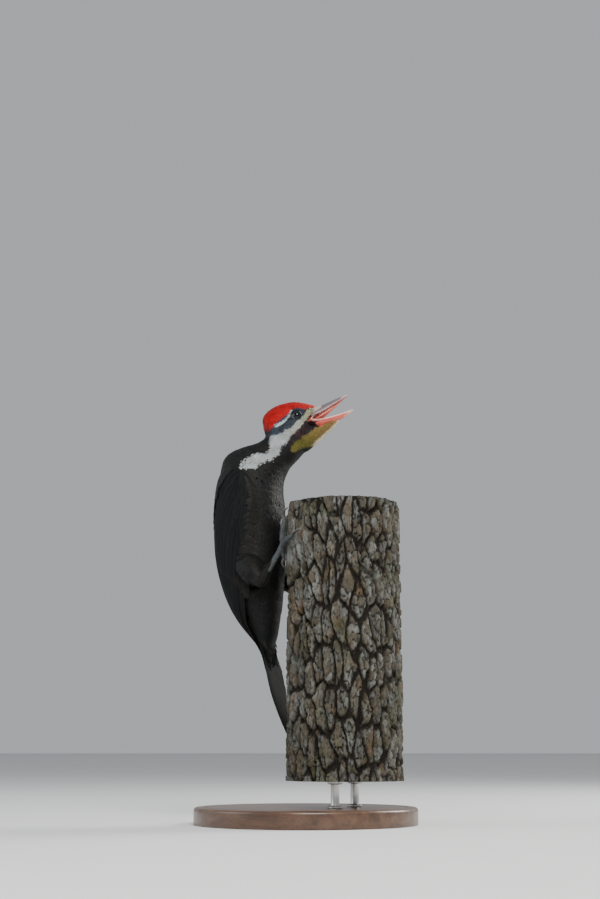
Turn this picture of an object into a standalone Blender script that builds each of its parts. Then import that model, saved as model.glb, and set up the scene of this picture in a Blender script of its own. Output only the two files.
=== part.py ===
"""A young pileated woodpecker clinging to a short cut log, life size, on a display stand.

Frame: +Z up, the floor at z = 0, the origin at the bottom centre of the round base.
The trunk of the bird faces +X (towards the log), its left side is +Y, and the head is
turned to its left by HEAD_TURN and tipped up, with the bill open.

The flesh is one fan of elliptical sections from the forehead to the under-tail, each
set by a back point, a belly point and a half width.  Head, neck and torso are lengths
of that fan, parted by thin cuts.  The wings are shells laid over the same fan.
All the lengths below are in millimetres; MM turns them into metres.
"""
import math

import bmesh
import bpy
import numpy as np
from mathutils import Vector

MM = 0.001
GAP = 0.3                 # left between pieces that touch

# ---- the stand and the log ------------------------------------------------------
BASE_R, BASE_H, BASE_BEVEL = 105.0, 16.0, 2.0
ROD_R, ROD_H, ROD_SPACING = 4.0, 24.0, 46.0
LOG_X, LOG_R, LOG_H = 40.0, 53.5, 260.0
LOG_Z0 = BASE_H + ROD_H + GAP
LOG_Z1 = LOG_Z0 + LOG_H
BARK_RIDGES, BARK_DEPTH = 15, 1.7

# ---- the bird -------------------------------------------------------------------
BODY_X = -58.5            # the upright axis that the neck turns about
HEAD_TURN = 25.0          # degrees to its left
HEAD_ROLL = 12.0           # degrees, crown tipped to its left
HEAD_PITCH = 30.0         # degrees, bill up
HEAD_P, HEAD_Z = 44.5, 397.0   # the head's own origin, between the eyes
RING = 24                 # points round a section of the body

# name: back (p, z), belly (p, z), half width, turn, roll (both as shares of the head's),
# and the half width that the folded wings keep to
STATIONS = {
    "forehead":     (67.0, 405.4, 66.0, 397.0, 5.2, 1.0, 1.0, 5.2),
    "lores":        (62.5, 405.6, 61.0, 393.5, 7.8, 1.0, 1.0, 7.8),
    "gape":         (56.5, 407.4, 57.0, 385.0, 10.8, 1.0, 1.0, 10.8),
    "eyes":         (48.5, 409.4, 54.5, 372.0, 13.5, 1.0, 1.0, 13.5),
    "crown":        (38.5, 410.2, 54.0, 361.6, 15.2, 1.0, 1.0, 15.2),
    "crest":        (27.0, 407.6, 49.8, 355.6, 16.2, 1.0, 1.0, 16.2),
    "hind_crown":   (17.0, 401.8, 46.2, 351.2, 16.9, 1.0, 1.0, 16.9),
    "nape":         (11.0, 393.4, 42.6, 347.4, 17.2, 1.0, 0.92, 17.2),
    "low_nape":     (12.2, 382.4, 39.4, 344.4, 17.2, 1.0, 0.76, 17.4),
    "neck_top":     (13.6, 373.6, 37.0, 341.6, 17.8, 0.98, 0.56, 17.8),
    "neck_mid":     (5.0, 367.2, 34.8, 337.4, 19.8, 0.92, 0.36, 20.2),
    "neck_low":     (-9.5, 363.0, 32.6, 332.0, 23.2, 0.80, 0.20, 23.2),
    "neck_base":    (-22.0, 357.6, 31.2, 325.5, 26.2, 0.62, 0.09, 26.2),
    "shoulders":    (-28.4, 350.6, 30.8, 318.0, 28.6, 0.44, 0.02, 28.6),
    "mantle":       (-31.0, 340.0, 31.2, 309.5, 30.2, 0.28, 0.0, 30.2),
    "breast":       (-32.4, 326.0, 31.8, 300.0, 31.4, 0.12, 0.0, 31.4),
    "back":         (-33.4, 308.0, 32.4, 289.0, 32.4, 0.03, 0.0, 32.4),
    "mid_back":     (-34.2, 286.0, 32.8, 273.0, 33.0, 0.0, 0.0, 33.0),
    "flank":        (-33.4, 263.0, 32.6, 254.0, 32.6, 0.0, 0.0, 32.6),
    "low_back":     (-30.0, 241.0, 31.6, 234.0, 30.8, 0.0, 0.0, 31.2),
    "rump":         (-23.6, 220.0, 30.4, 214.0, 27.0, 0.0, 0.0, 28.6),
    "vent":         (-15.4, 202.0, 28.8, 196.0, 21.8, 0.0, 0.0, 25.6),
    "tail_coverts": (-5.0, 186.4, 26.6, 179.0, 16.8, 0.0, 0.0, 22.6),
    "covert_tips":  (8.0, 171.0, 23.4, 163.5, 12.2, 0.0, 0.0, 20.0),
    # beyond the body, only the folded wing tips follow these
    "tail_root":    (12.4, 156.0, 33.0, 151.0, 9.0, 0.0, 0.0, 18.0),
    "wing_tips":    (17.8, 139.0, 37.0, 135.0, 8.0, 0.0, 0.0, 15.5),
}
NAMES = list(STATIONS)
TABLE = np.array([STATIONS[n] for n in NAMES])
AT = {n: float(i) for i, n in enumerate(NAMES)}

# the chin and throat, which drop with the open lower jaw
CHIN = {
    "chin_tip":   (86.0, 390.6, 87.6, 388.8, 2.0),
    "chin":       (79.5, 388.4, 82.4, 383.6, 4.4),
    "jaw_mid":    (71.5, 385.6, 75.0, 376.8, 6.9),
    "jaw":        (64.0, 384.0, 67.6, 369.6, 9.0),
    "jaw_back":   (57.0, 384.0, 61.2, 363.6, 10.4),
    "throat":     (49.5, 384.0, 55.8, 359.0, 10.6),
    "throat_low": (42.5, 383.0, 50.0, 356.4, 9.2),
}

# bill: along the head's own axis, from the eye.  u, upper edge v, lower edge v, half width
UPPER_BILL = ((8.0, -5.0, -10.6, 6.2), (16.0, -3.3, -12.0, 7.1), (24.0, -4.3, -12.3, 6.5), (32.0, -5.0, -11.4, 5.2),
              (40.0, -5.6, -10.5, 3.7), (47.0, -6.5, -9.6, 2.4), (52.0, -7.4, -8.8, 1.35), (54.0, -7.8, -8.5, 0.9))
LOWER_BILL = ((5.5, -15.6, -20.6, 3.6), (14.0, -18.0, -24.2, 6.8), (22.0, -20.0, -26.0, 6.1), (30.0, -21.9, -27.0, 4.8),
              (38.0, -23.3, -27.2, 3.4), (45.0, -24.0, -26.6, 2.1), (49.0, -24.3, -25.6, 1.2), (50.8, -24.4, -25.0, 0.8))
# tongue, raised a little off the floor of the mouth: u, v, half width, half thickness
TONGUE = ((9.6, -14.2, 3.2, 1.5), (17.0, -15.4, 3.9, 2.0), (25.0, -16.5, 3.3, 1.8), (31.0, -17.3, 2.2, 1.3), (36.0, -18.2, 0.7, 0.55))
EYE_R, EYE_OUT, EYE_U, EYE_V = 6.0, 9.0, -2.0, -5.3

# tail: root, tip and the pull towards the log, then the share of the length of each vane
TAIL_ROOT, TAIL_TIP = (13.0, 192.0), (41.6, 80.0)
TAIL_BOW = 5.0
TAIL_PAIRS = (1.0, 0.965, 0.90, 0.815, 0.72, 0.60)
TAIL_SPREAD, VANE_HALF = 17.0, 6.2

# legs: heel and foot, for the right side mirrored
HEEL = (29.0, 36.0, 226.0)
KNEE = (5.0, 21.0, 246.0)
TOES = {                  # bearing from straight up (degrees, outward positive), length, radius
    "toe_2": (-17.0, 21.0, 2.5),
    "toe_3": (11.0, 26.0, 2.7),
    "toe_4": (70.0, 25.0, 2.5),
    "toe_1": (188.0, 11.0, 2.1),
}
FOOT_BEARING, FOOT_Z = 34.0, 258.0   # round the log from its near side, and the height
CLAW_LEN = 14.0

COLOURS = {
    "body_plumage": ((0.012, 0.013, 0.015), 0.55),
    "head_plumage": ((0.62, 0.02, 0.012), 0.6),
    "bill_horn": ((0.16, 0.13, 0.14), 0.35),
    "bill_pale": ((0.62, 0.34, 0.26), 0.4),
    "mouth_pink": ((0.60, 0.16, 0.13), 0.35),
    "eye_dark": ((0.01, 0.009, 0.009), 0.06),
    "leg_scale": ((0.11, 0.12, 0.125), 0.5),
    "claw_horn": ((0.22, 0.20, 0.18), 0.4),
    "bark": ((0.09, 0.085, 0.065), 0.9),
    "base_wood": ((0.10, 0.052, 0.03), 0.4),
    "rod_metal": ((0.55, 0.54, 0.52), 0.3),
}


# ---- curves and frames -------------------------------------------------------------
def table_at(table, t):
    """A smooth row between the rows of a table, by Catmull-Rom."""
    n = len(table)
    t = min(max(t, 0.0), n - 1.0)
    i = min(int(t), n - 2)
    f = t - i
    a, b = table[i], table[i + 1]
    ma = (b - table[i - 1]) / 2 if i > 0 else b - a
    mb = (table[i + 2] - a) / 2 if i + 2 < n else b - a
    return ((2 * f ** 3 - 3 * f ** 2 + 1) * a + (f ** 3 - 2 * f ** 2 + f) * ma
            + (3 * f ** 2 - 2 * f ** 3) * b + (f ** 3 - f ** 2) * mb)


def posed(p, q, z, turn=1.0, roll=1.0):
    """A point given forward p, left q and up z of the body's axis, rolled about the head's
    long axis and turned about the body's upright axis by those shares."""
    r = math.radians(HEAD_ROLL) * roll
    pitch = math.radians(HEAD_PITCH)
    c, s = math.cos(pitch), math.sin(pitch)
    dp, dz = p - HEAD_P, z - HEAD_Z
    along, up = dp * c + dz * s, -dp * s + dz * c
    up, q = up * math.cos(r) - q * math.sin(r), q * math.cos(r) + up * math.sin(r)
    p, z = HEAD_P + along * c - up * s, HEAD_Z + along * s + up * c
    a = math.radians(HEAD_TURN) * turn
    return np.array((BODY_X + p * math.cos(a) - q * math.sin(a), p * math.sin(a) + q * math.cos(a), z))


def head_point(u, w, v):
    """A point in the head's own axes: u along the bill, w to its left, v up, from between the eyes."""
    pitch = math.radians(HEAD_PITCH)
    c, s = math.cos(pitch), math.sin(pitch)
    return posed(HEAD_P + u * c - v * s, w, HEAD_Z + u * s + v * c)


def body_point(t, theta, out=0.0, wing=False):
    """The body's surface at station t, theta round from the back (0) by the left side to the belly (pi).
    The head is narrower over the crown and fuller at the throat than an ellipse."""
    tp, tz, bp, bz, w, turn, roll, wide = table_at(TABLE, t)
    mp, mz, hp, hz = (tp + bp) / 2, (tz + bz) / 2, (tp - bp) / 2, (tz - bz) / 2
    c, s = math.cos(theta), math.sin(theta)
    grow = 1 + out / math.hypot(hp, hz)
    full = math.copysign(abs(s) ** (1 - 0.16 * roll * (c < 0)), s)
    q = ((wide if wing else w) + out) * full * (1 - (0.06 + 0.09 * roll) * c)
    return posed(mp + hp * c * grow, q, mz + hz * c * grow, turn, roll)


# ---- meshes --------------------------------------------------------------------------
def material(slot):
    colour, rough = COLOURS[slot]
    m = bpy.data.materials.new(slot)
    m.use_nodes = True
    bsdf = m.node_tree.nodes["Principled BSDF"]
    bsdf.inputs["Base Color"].default_value = (*colour, 1.0)
    bsdf.inputs["Roughness"].default_value = rough
    bsdf.inputs["Metallic"].default_value = 1.0 if slot == "rod_metal" else 0.0
    return m


def place(mesh, name, slot, where):
    """An object of the mesh, in metres, smooth but for its real edges."""
    obj = bpy.data.objects.new(name, mesh)
    mesh.materials.append(materials[slot])
    where.objects.link(obj)
    mesh.shade_smooth()
    mesh.set_sharp_from_angle(angle=math.radians(40))
    if where is cutters:
        obj.hide_render = True
        obj.display_type = "WIRE"
    return obj


def loft(name, rings, slot, where=None):
    """A closed solid through rings of equal length, with a fan at each end.  Points in millimetres."""
    bm = bmesh.new()
    rows = [[bm.verts.new(Vector(p) * MM) for p in ring] for ring in rings]
    n = len(rows[0])
    for a, b in zip(rows, rows[1:]):
        for i in range(n):
            j = (i + 1) % n
            bm.faces.new((a[i], a[j], b[j], b[i]))
    for row in (rows[0], rows[-1]):
        mid = bm.verts.new(sum((v.co for v in row), Vector()) / n)
        for i in range(n):
            bm.faces.new((row[i], row[(i + 1) % n], mid))
    bmesh.ops.recalc_face_normals(bm, faces=bm.faces)
    mesh = bpy.data.meshes.new(name)
    bm.to_mesh(mesh)
    bm.free()
    return place(mesh, name, slot, where or bird)


def boolean(obj, operation, other):
    m = obj.modifiers.new(operation.lower(), "BOOLEAN")
    m.operation, m.object, m.solver = operation, other, "EXACT"


def tube(name, path, radii, slot, where=None, sides=8, flat=1.0):
    """A closed tube along the path, its ends drawn in to small caps."""
    path = [Vector(p) for p in path]
    side = None
    rings = []
    for i, (p, r) in enumerate(zip(path, radii)):
        ahead = (path[min(i + 1, len(path) - 1)] - path[max(i - 1, 0)]).normalized()
        if side is None:
            side = ahead.orthogonal().normalized()
        side = (side - ahead * side.dot(ahead)).normalized()
        other = ahead.cross(side)
        rings.append([p + (side * math.cos(a) + other * math.sin(a) * flat) * r
                      for a in (2 * math.pi * k / sides for k in range(sides))])
    return loft(name, rings, slot, where)


# ---- the flesh -----------------------------------------------------------------------
def flesh(name, start, end, steps, slot, trim=(0.0, 0.0), out=0.0, where=None):
    """A length of the body's fan.  trim draws its end sections apart, in station units."""
    ts = np.linspace(start + trim[0], end - trim[1], steps)
    rings = [[body_point(t, 2 * math.pi * k / RING, out) for k in range(RING)] for t in ts]
    return loft(name, rings, slot, where)


def apart(t):
    """Half the cut, as a share of the step between stations, so the cut is GAP wide at its narrowest."""
    ring = lambda x: np.array([body_point(x, 2 * math.pi * k / RING) for k in range(RING)])
    e = 0.02
    step = np.linalg.norm(ring(t + e) - ring(t - e), axis=1).min() / (2 * e)
    return 0.62 * GAP / step


def make_body():
    neck_cut, torso_cut = AT["low_nape"] + 0.4, AT["neck_base"] + 0.3
    a, b = apart(neck_cut), apart(torso_cut)
    head = flesh("head", 0.0, neck_cut, 17, "head_plumage", (0.0, a))
    flesh("neck", neck_cut, torso_cut, 8, "body_plumage", (a, b))
    flesh("torso", torso_cut, AT["covert_tips"], 21, "body_plumage", (b, 0.0))

    rows = np.array(list(CHIN.values()))
    rings = []
    for t in np.linspace(0, len(rows) - 1, 11):
        tp, tz, bp, bz, w = table_at(rows, t)
        rings.append([posed((tp + bp) / 2 + (tp - bp) / 2 * math.cos(x), w * math.sin(x),
                            (tz + bz) / 2 + (tz - bz) / 2 * math.cos(x))
                      for x in (2 * math.pi * k / 16 for k in range(16))])
    boolean(head, "UNION", loft("chin_lobe", rings, "head_plumage", cutters))
    return head


def bill(name, rows, slot, out=0.0, where=None, back=0.0, flat_below=True):
    """A horn through sections (u, top, bottom, half width), flat on its mouth side."""
    rings = []
    rows = np.array(rows)
    for i, t in enumerate(np.linspace(0, len(rows) - 1, 14)):
        u, top, bottom, w = table_at(rows, t)
        u += back * (i == 0) + out * 0.6 * (i == 13)
        top, bottom, w = top + out, bottom - out, w + out
        ring = []
        for k in range(14):
            x = 2 * math.pi * k / 14
            c, s = math.cos(x), math.sin(x)
            if not flat_below:
                c = -c
            h = top - bottom
            rise = (0.5 + 0.5 * c) if c > -0.5 else 0.16 * (0.5 + 0.5 * c) / 0.25
            v = bottom + h * rise if flat_below else top - h * rise
            ring.append(head_point(u, w * (abs(s) ** 0.8) * math.copysign(1, s), v))
        rings.append(ring)
    return loft(name, rings, slot, where)


def make_head_parts(head):
    bill("bill_upper", UPPER_BILL, "bill_horn")
    boolean(head, "DIFFERENCE", bill("upper_room", UPPER_BILL, "bill_horn", 0.45, cutters, -1.2))
    bill("bill_lower", LOWER_BILL, "bill_pale", flat_below=False)
    boolean(head, "DIFFERENCE", bill("lower_room", LOWER_BILL, "bill_pale", 0.45, cutters, -1.2, False))

    # the open mouth, a wedge between the two halves of the bill
    wedge = []
    for u, top, bottom in ((8.2, -12.9, -13.9), (12.0, -12.0, -17.0), (20.0, -12.2, -19.4), (34.0, -11.0, -22.6)):
        wedge.append([head_point(u, y, v) for y, v in ((-13, top), (13, top), (13, bottom), (-13, bottom))])
    boolean(head, "DIFFERENCE", loft("mouth_room", wedge, "mouth_pink", cutters))

    for name, out in (("tongue", 0.0), ("tongue_room", GAP + 0.1)):
        rings = [[head_point(u - out * (i == 0), (w + out) * math.cos(x), v + (h + out) * math.sin(x))
                  for x in (2 * math.pi * k / 8 for k in range(8))] for i, (u, v, w, h) in enumerate(TONGUE)]
        solid = loft(name, rings, "mouth_pink", cutters if out else None)
    boolean(head, "DIFFERENCE", solid)

    for name, side in (("eye_left", 1), ("eye_right", -1)):
        centre = Vector(head_point(EYE_U, side * EYE_OUT, EYE_V)) * MM
        for which, radius in ((name, EYE_R), (name + "_socket", EYE_R + GAP)):
            bm = bmesh.new()
            bmesh.ops.create_uvsphere(bm, u_segments=16, v_segments=10, radius=radius * MM)
            bmesh.ops.rotate(bm, verts=bm.verts, matrix=Vector((0, 0, 1)).rotation_difference(
                (Vector(head_point(0, 1, 0)) - Vector(head_point(0, 0, 0))).normalized()).to_matrix())
            bmesh.ops.translate(bm, verts=bm.verts, vec=centre)
            mesh = bpy.data.meshes.new(which)
            bm.to_mesh(mesh)
            bm.free()
            ball = place(mesh, which, "eye_dark", bird if which == name else cutters)
        boolean(head, "DIFFERENCE", ball)


# ---- wings ---------------------------------------------------------------------------
WING = (  # station, dorsal edge, ventral edge (degrees from the back), thickness
    ("shoulders", 70.0, 88.0, 1.6),
    ("mantle", 44.0, 108.0, 3.2),
    ("breast", 26.0, 118.0, 4.2),
    ("back", 13.0, 117.0, 4.4),
    ("mid_back", 6.0, 113.0, 4.2),
    ("flank", 4.5, 108.0, 3.8),
    ("low_back", 4.5, 102.0, 3.4),
    ("rump", 5.0, 95.0, 3.0),
    ("vent", 6.0, 86.0, 2.6),
    ("tail_coverts", 7.0, 75.0, 2.2),
    ("covert_tips", 8.0, 65.0, 1.8),
    ("tail_root", 9.0, 52.0, 1.4),
    ("wing_tips", 14.0, 24.0, 0.9),
)
WING_ROWS = np.array([(AT[n], d, v, h) for n, d, v, h in WING])
WING_STEPS, WING_ACROSS, WING_CLEAR = 18, 8, 0.75


def wing_point(t, f, side, out):
    """On the folded wing, t down its rows and f from its dorsal to its ventral edge."""
    at, dorsal, ventral, thick = table_at(WING_ROWS, t)
    bulge = 0.9 + max(thick - 0.9, 0.0) * max(math.sin(math.pi * f), 0.0) ** 0.6
    return body_point(at, side * math.radians(dorsal + (ventral - dorsal) * f), WING_CLEAR + bulge * out, wing=True)


def make_wing(name, side):
    rings = []
    for t in np.linspace(0, len(WING) - 1, WING_STEPS):
        fs = [j / (WING_ACROSS - 1) for j in range(WING_ACROSS)]
        rings.append([wing_point(t, f, side, 1.0) for f in fs] + [wing_point(t, f, side, 0.0) for f in fs[::-1]])
    return loft(name, rings, "body_plumage")


# ---- tail ----------------------------------------------------------------------------
def tail_axis(s):
    """Forward and up of the tail's middle line, bowed away from the log."""
    p = TAIL_ROOT[0] + (TAIL_TIP[0] - TAIL_ROOT[0]) * s - TAIL_BOW * math.sin(math.pi * s) * (1 - 0.35 * s)
    return p, TAIL_ROOT[1] + (TAIL_TIP[1] - TAIL_ROOT[1]) * s


def tail_half_width(s):
    """The outline of the stiff pointed vanes, laid like a closed fan."""
    widest = 1.2
    for i, tip in enumerate(TAIL_PAIRS):
        if s < tip:
            lateral = TAIL_SPREAD * (i / 5) * (0.10 + 0.90 * min(s / 0.62, 1.0))
            vane = VANE_HALF * min(1.0, ((tip - s) / 0.13)) ** 0.7 * (0.45 + 0.55 * min(s / 0.3, 1.0))
            widest = max(widest, lateral + vane)
    return widest


def make_tail():
    cuts = sorted({0.0, 0.14, 0.26, 0.38, 0.5} | {round(t - d, 4) for t in TAIL_PAIRS[1:] for d in (0.003, 0.05, -0.003)} | {0.93, 0.975, 0.999})
    rings = []
    for s in cuts:
        p, z = tail_axis(s)
        half = tail_half_width(s + 1e-6)
        thick = 5.0 - 3.4 * min(s / 0.55, 1.0) - 0.5 * s
        upper, lower = [], []
        for j in range(7):
            f = -1 + 2 * j / 6
            y = half * f
            arch = 0.0075 * y * y * (1 - 0.25 * s)   # the sides curl towards the log
            edge = 0.5 + (thick / 2 - 0.25) * math.cos(f * math.pi / 2)
            upper.append(posed(p + arch - edge, y, z, 0, 0))
            lower.append(posed(p + arch + edge * 0.6, y, z, 0, 0))
        rings.append(upper + lower[::-1])
    tail = loft("tail", rings, "body_plumage")
    # the coverts lap the root of the tail: it stops just short of them
    room = flesh("covert_room", AT["rump"], AT["covert_tips"], 9, "body_plumage", out=GAP + 0.25, where=cutters)
    boolean(tail, "DIFFERENCE", room)
    return tail


# ---- the log, and what grips it --------------------------------------------------------
def bark_radius(angle, z):
    """The log's surface: out of round, with long wavering ridges of bark."""
    h = (z - LOG_Z0) / LOG_H
    wander = 0.5 * math.sin(5.2 * h + 1.3) + 0.28 * math.sin(12.0 * h + 2.0 * angle)
    ridge = abs(math.sin(BARK_RIDGES / 2 * angle + wander))
    return (LOG_R * (1 + 0.012 * math.cos(2 * angle + 0.8)) * (1.01 - 0.02 * h)
            + BARK_DEPTH * (ridge ** 0.7 - 0.75) + 0.5 * math.sin(9 * angle + 17 * h))


def make_log():
    rings = []
    around = 4 * BARK_RIDGES
    for z in np.linspace(LOG_Z0, LOG_Z1, 5):
        rings.append([(LOG_X + bark_radius(a, z) * math.cos(a), bark_radius(a, z) * math.sin(a), z)
                      for a in (2 * math.pi * k / around for k in range(around))])
    return loft("perch_log", rings, "bark")


def on_log(bearing, z, off):
    """A point off the bark, its bearing in degrees round from the bird's side towards +Y."""
    a = math.pi - math.radians(bearing)
    r = LOG_R + BARK_DEPTH * 0.25 + 1.3 + off
    return np.array((LOG_X + r * math.cos(a), r * math.sin(a), z))


def toe_path(side, heading, length, radius, n=7):
    """Along the bark from the foot's middle, lifting a little at the knuckles."""
    points = []
    for i in range(n):
        d = length * i / (n - 1)
        up, round_ = math.cos(math.radians(heading)) * d, math.sin(math.radians(heading)) * d
        off = radius + 0.5 + 1.1 * math.sin(math.pi * min(i / (n - 1) * 1.15, 1)) + (1.2 if i == 0 else 0)
        points.append(on_log(side * (FOOT_BEARING + math.degrees(round_ / LOG_R)), FOOT_Z + up, off))
    return points


def make_leg(word, side):
    foot = Vector(on_log(side * FOOT_BEARING, FOOT_Z, 4.0))
    heel = Vector((BODY_X + HEEL[0], side * HEEL[1], HEEL[2]))
    toes = []
    for toe, (heading, length, radius) in TOES.items():
        path = toe_path(side, heading, length, radius)
        radii = [radius * (1.06, 0.92, 1.05, 0.9, 1.0, 0.88, 0.62)[i] for i in range(7)]
        toes.append(tube(("foot_" + word) if not toes else f"{toe}_{word}", path, radii, "leg_scale",
                         bird if not toes else cutters))
        # the claw springs from the toe's end, arches off the bark and comes back to it
        a, b = Vector(path[-2]), Vector(path[-1])
        ahead = (b - a).normalized()
        away = Vector((b.x - LOG_X, b.y, 0)).normalized()
        ahead = (ahead - away * ahead.dot(away)).normalized()
        length_c = CLAW_LEN * (0.8 if toe == "toe_1" else 1.0)
        arc = []
        for i in range(7):
            f = i / 6
            bend = math.radians(48 - 128 * f)
            step = length_c / 6
            if not arc:
                arc.append(b + ahead * (radii[-1] * 0.2 + 0.9) + away * 0.1)
            else:
                arc.append(arc[-1] + (ahead * math.cos(bend) + away * math.sin(bend)) * step)
        sizes = [radius * 0.66 * (1 - 0.86 * (i / 6) ** 1.3) for i in range(7)]
        # keep the point just off the bark
        fixed = []
        for q, r in zip(arc, sizes):
            radial = Vector((q.x - LOG_X, q.y, 0))
            least = LOG_R + BARK_DEPTH * 0.25 + 1.0 + r
            if radial.length < least:
                radial = radial.normalized() * least
            fixed.append((LOG_X + radial.x, radial.y, q.z))
        tube(f"claw_{word}_{toe[-1]}", fixed, sizes, "claw_horn", sides=6)
    # the shank's end closes the toes into one foot
    ankle = foot + (heel - foot).normalized() * 7.0
    toes.append(tube(f"sole_{word}", [foot + (foot - ankle) * 0.22, foot, (foot + ankle) / 2, ankle], [1.8, 3.4, 3.0, 2.6], "leg_scale", cutters))
    for other in toes[1:]:
        boolean(toes[0], "UNION", other)

    # shank, heel and feathered thigh
    top = foot + (heel - foot).normalized() * (7.0 + GAP)
    knee = Vector((BODY_X + KNEE[0], side * KNEE[1], KNEE[2]))
    mid = heel * 0.42 + knee * 0.58 + Vector((0.5, side * 2.5, -1.5))
    path = [top, top * 0.6 + heel * 0.4, top * 0.22 + heel * 0.78, heel, heel * 0.62 + mid * 0.38, heel * 0.22 + mid * 0.78,
            mid * 0.55 + knee * 0.45, knee, knee + (knee - mid) * 0.5]
    leg = tube("leg_" + word, path, [2.6, 2.8, 3.5, 5.2, 8.0, 11.2, 13.8, 14.6, 8.0], "body_plumage", sides=12)
    boolean(leg, "DIFFERENCE", flesh("torso_room_" + word, AT["neck_base"] + 0.3, AT["covert_tips"], 21, "body_plumage", out=GAP + 0.15, where=cutters))
    # the wing lies over the thigh
    rings = []
    for t in np.linspace(2.0, len(WING) - 3.0, 12):
        fs = (0.0, 0.2, 0.4, 0.6, 0.8, 0.92, 1.03)
        rings.append([wing_point(t, f, side, 1.0) + (wing_point(t, f, side, 1.0) - wing_point(t, f, side, 0.0)) * 0.35 for f in fs]
                     + [body_point(table_at(WING_ROWS, t)[0], side * math.radians(np.interp(f, (0, 1), table_at(WING_ROWS, t)[1:3]) + (2 if f > 1 else 0)), -4.0)
                        for f in (1.03, 0.8, 0.5, 0.2, 0.0)])
    boolean(leg, "DIFFERENCE", loft("wing_room_" + word, rings, "body_plumage", cutters))


# ---- stand ---------------------------------------------------------------------------
def cylinder(name, radius, height, centre, slot, segments, bevel=0.0):
    bm = bmesh.new()
    bmesh.ops.create_cone(bm, cap_ends=True, segments=segments, radius1=radius * MM, radius2=radius * MM, depth=height * MM)
    bmesh.ops.translate(bm, verts=bm.verts, vec=Vector(centre) * MM)
    mesh = bpy.data.meshes.new(name)
    bm.to_mesh(mesh)
    bm.free()
    obj = place(mesh, name, slot, bird)
    if bevel:
        m = obj.modifiers.new("edge", "BEVEL")
        m.width, m.segments, m.limit_method = bevel * MM, 1, "ANGLE"
    return obj


def make_stand():
    cylinder("stand_base", BASE_R, BASE_H, (0, 0, BASE_H / 2), "base_wood", 52, BASE_BEVEL)
    for i, side in enumerate((-1, 1), 1):
        cylinder(f"stand_rod_{i}", ROD_R, ROD_H - GAP, (LOG_X, side * ROD_SPACING / 2, BASE_H + GAP / 2 + ROD_H / 2), "rod_metal", 20)


for old in list(bpy.data.objects):
    bpy.data.objects.remove(old, do_unlink=True)
bird = bpy.data.collections.new("pileated_woodpecker")
cutters = bpy.data.collections.new("cutters")
for group in (bird, cutters):
    bpy.context.scene.collection.children.link(group)
materials = {slot: material(slot) for slot in COLOURS}

head = make_body()
make_head_parts(head)
for word, side in (("left", 1), ("right", -1)):
    make_wing("wing_" + word, side)
    make_leg(word, side)
make_tail()
make_log()
make_stand()
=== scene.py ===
"""The looks of a young pileated woodpecker on a short cut log, around its CAD frame.

Lengths are in millimetres up to the point where a mesh is made.  The body's fan of
sections, the chin, the wings, the tail and the legs repeat the CAD part's own rules, so
that the skin, the coat and the horn lie where the solids are.
"""
import math
import time

import bmesh
import bpy
import numpy as np
from mathutils import Matrix, Vector
from mathutils.bvhtree import BVHTree
from mathutils.kdtree import KDTree


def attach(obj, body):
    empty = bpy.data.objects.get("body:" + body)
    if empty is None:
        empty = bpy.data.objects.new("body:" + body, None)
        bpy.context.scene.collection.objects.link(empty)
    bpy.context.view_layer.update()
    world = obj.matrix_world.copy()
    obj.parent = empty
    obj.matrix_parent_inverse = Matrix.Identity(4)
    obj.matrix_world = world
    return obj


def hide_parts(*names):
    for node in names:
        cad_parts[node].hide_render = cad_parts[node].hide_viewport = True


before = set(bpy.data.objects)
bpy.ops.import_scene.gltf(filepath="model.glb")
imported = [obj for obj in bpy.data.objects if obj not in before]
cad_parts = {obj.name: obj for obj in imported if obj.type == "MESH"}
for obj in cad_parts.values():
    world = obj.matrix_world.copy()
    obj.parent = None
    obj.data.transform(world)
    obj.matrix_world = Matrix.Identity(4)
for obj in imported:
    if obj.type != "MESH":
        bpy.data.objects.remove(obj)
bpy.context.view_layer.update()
began = time.time()

MM = 0.001
rng = np.random.default_rng(20)


def told(words):
    print(f"[{time.time() - began:5.1f} s] {words}", flush=True)


# =====================================================================================
# the part's own sizes
# =====================================================================================
BASE_R, BASE_H = 105.0, 16.0
ROD_R, ROD_H, ROD_SPACING = 4.0, 24.0, 46.0
GAP = 0.3
LOG_X, LOG_R, LOG_H = 40.0, 53.5, 260.0
LOG_Z0 = BASE_H + ROD_H + GAP
LOG_Z1 = LOG_Z0 + LOG_H
BARK_RIDGES, BARK_DEPTH = 15, 1.7

BODY_X = -58.5
HEAD_TURN, HEAD_ROLL, HEAD_PITCH = 25.0, 12.0, 30.0
HEAD_P, HEAD_Z = 44.5, 397.0

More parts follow.
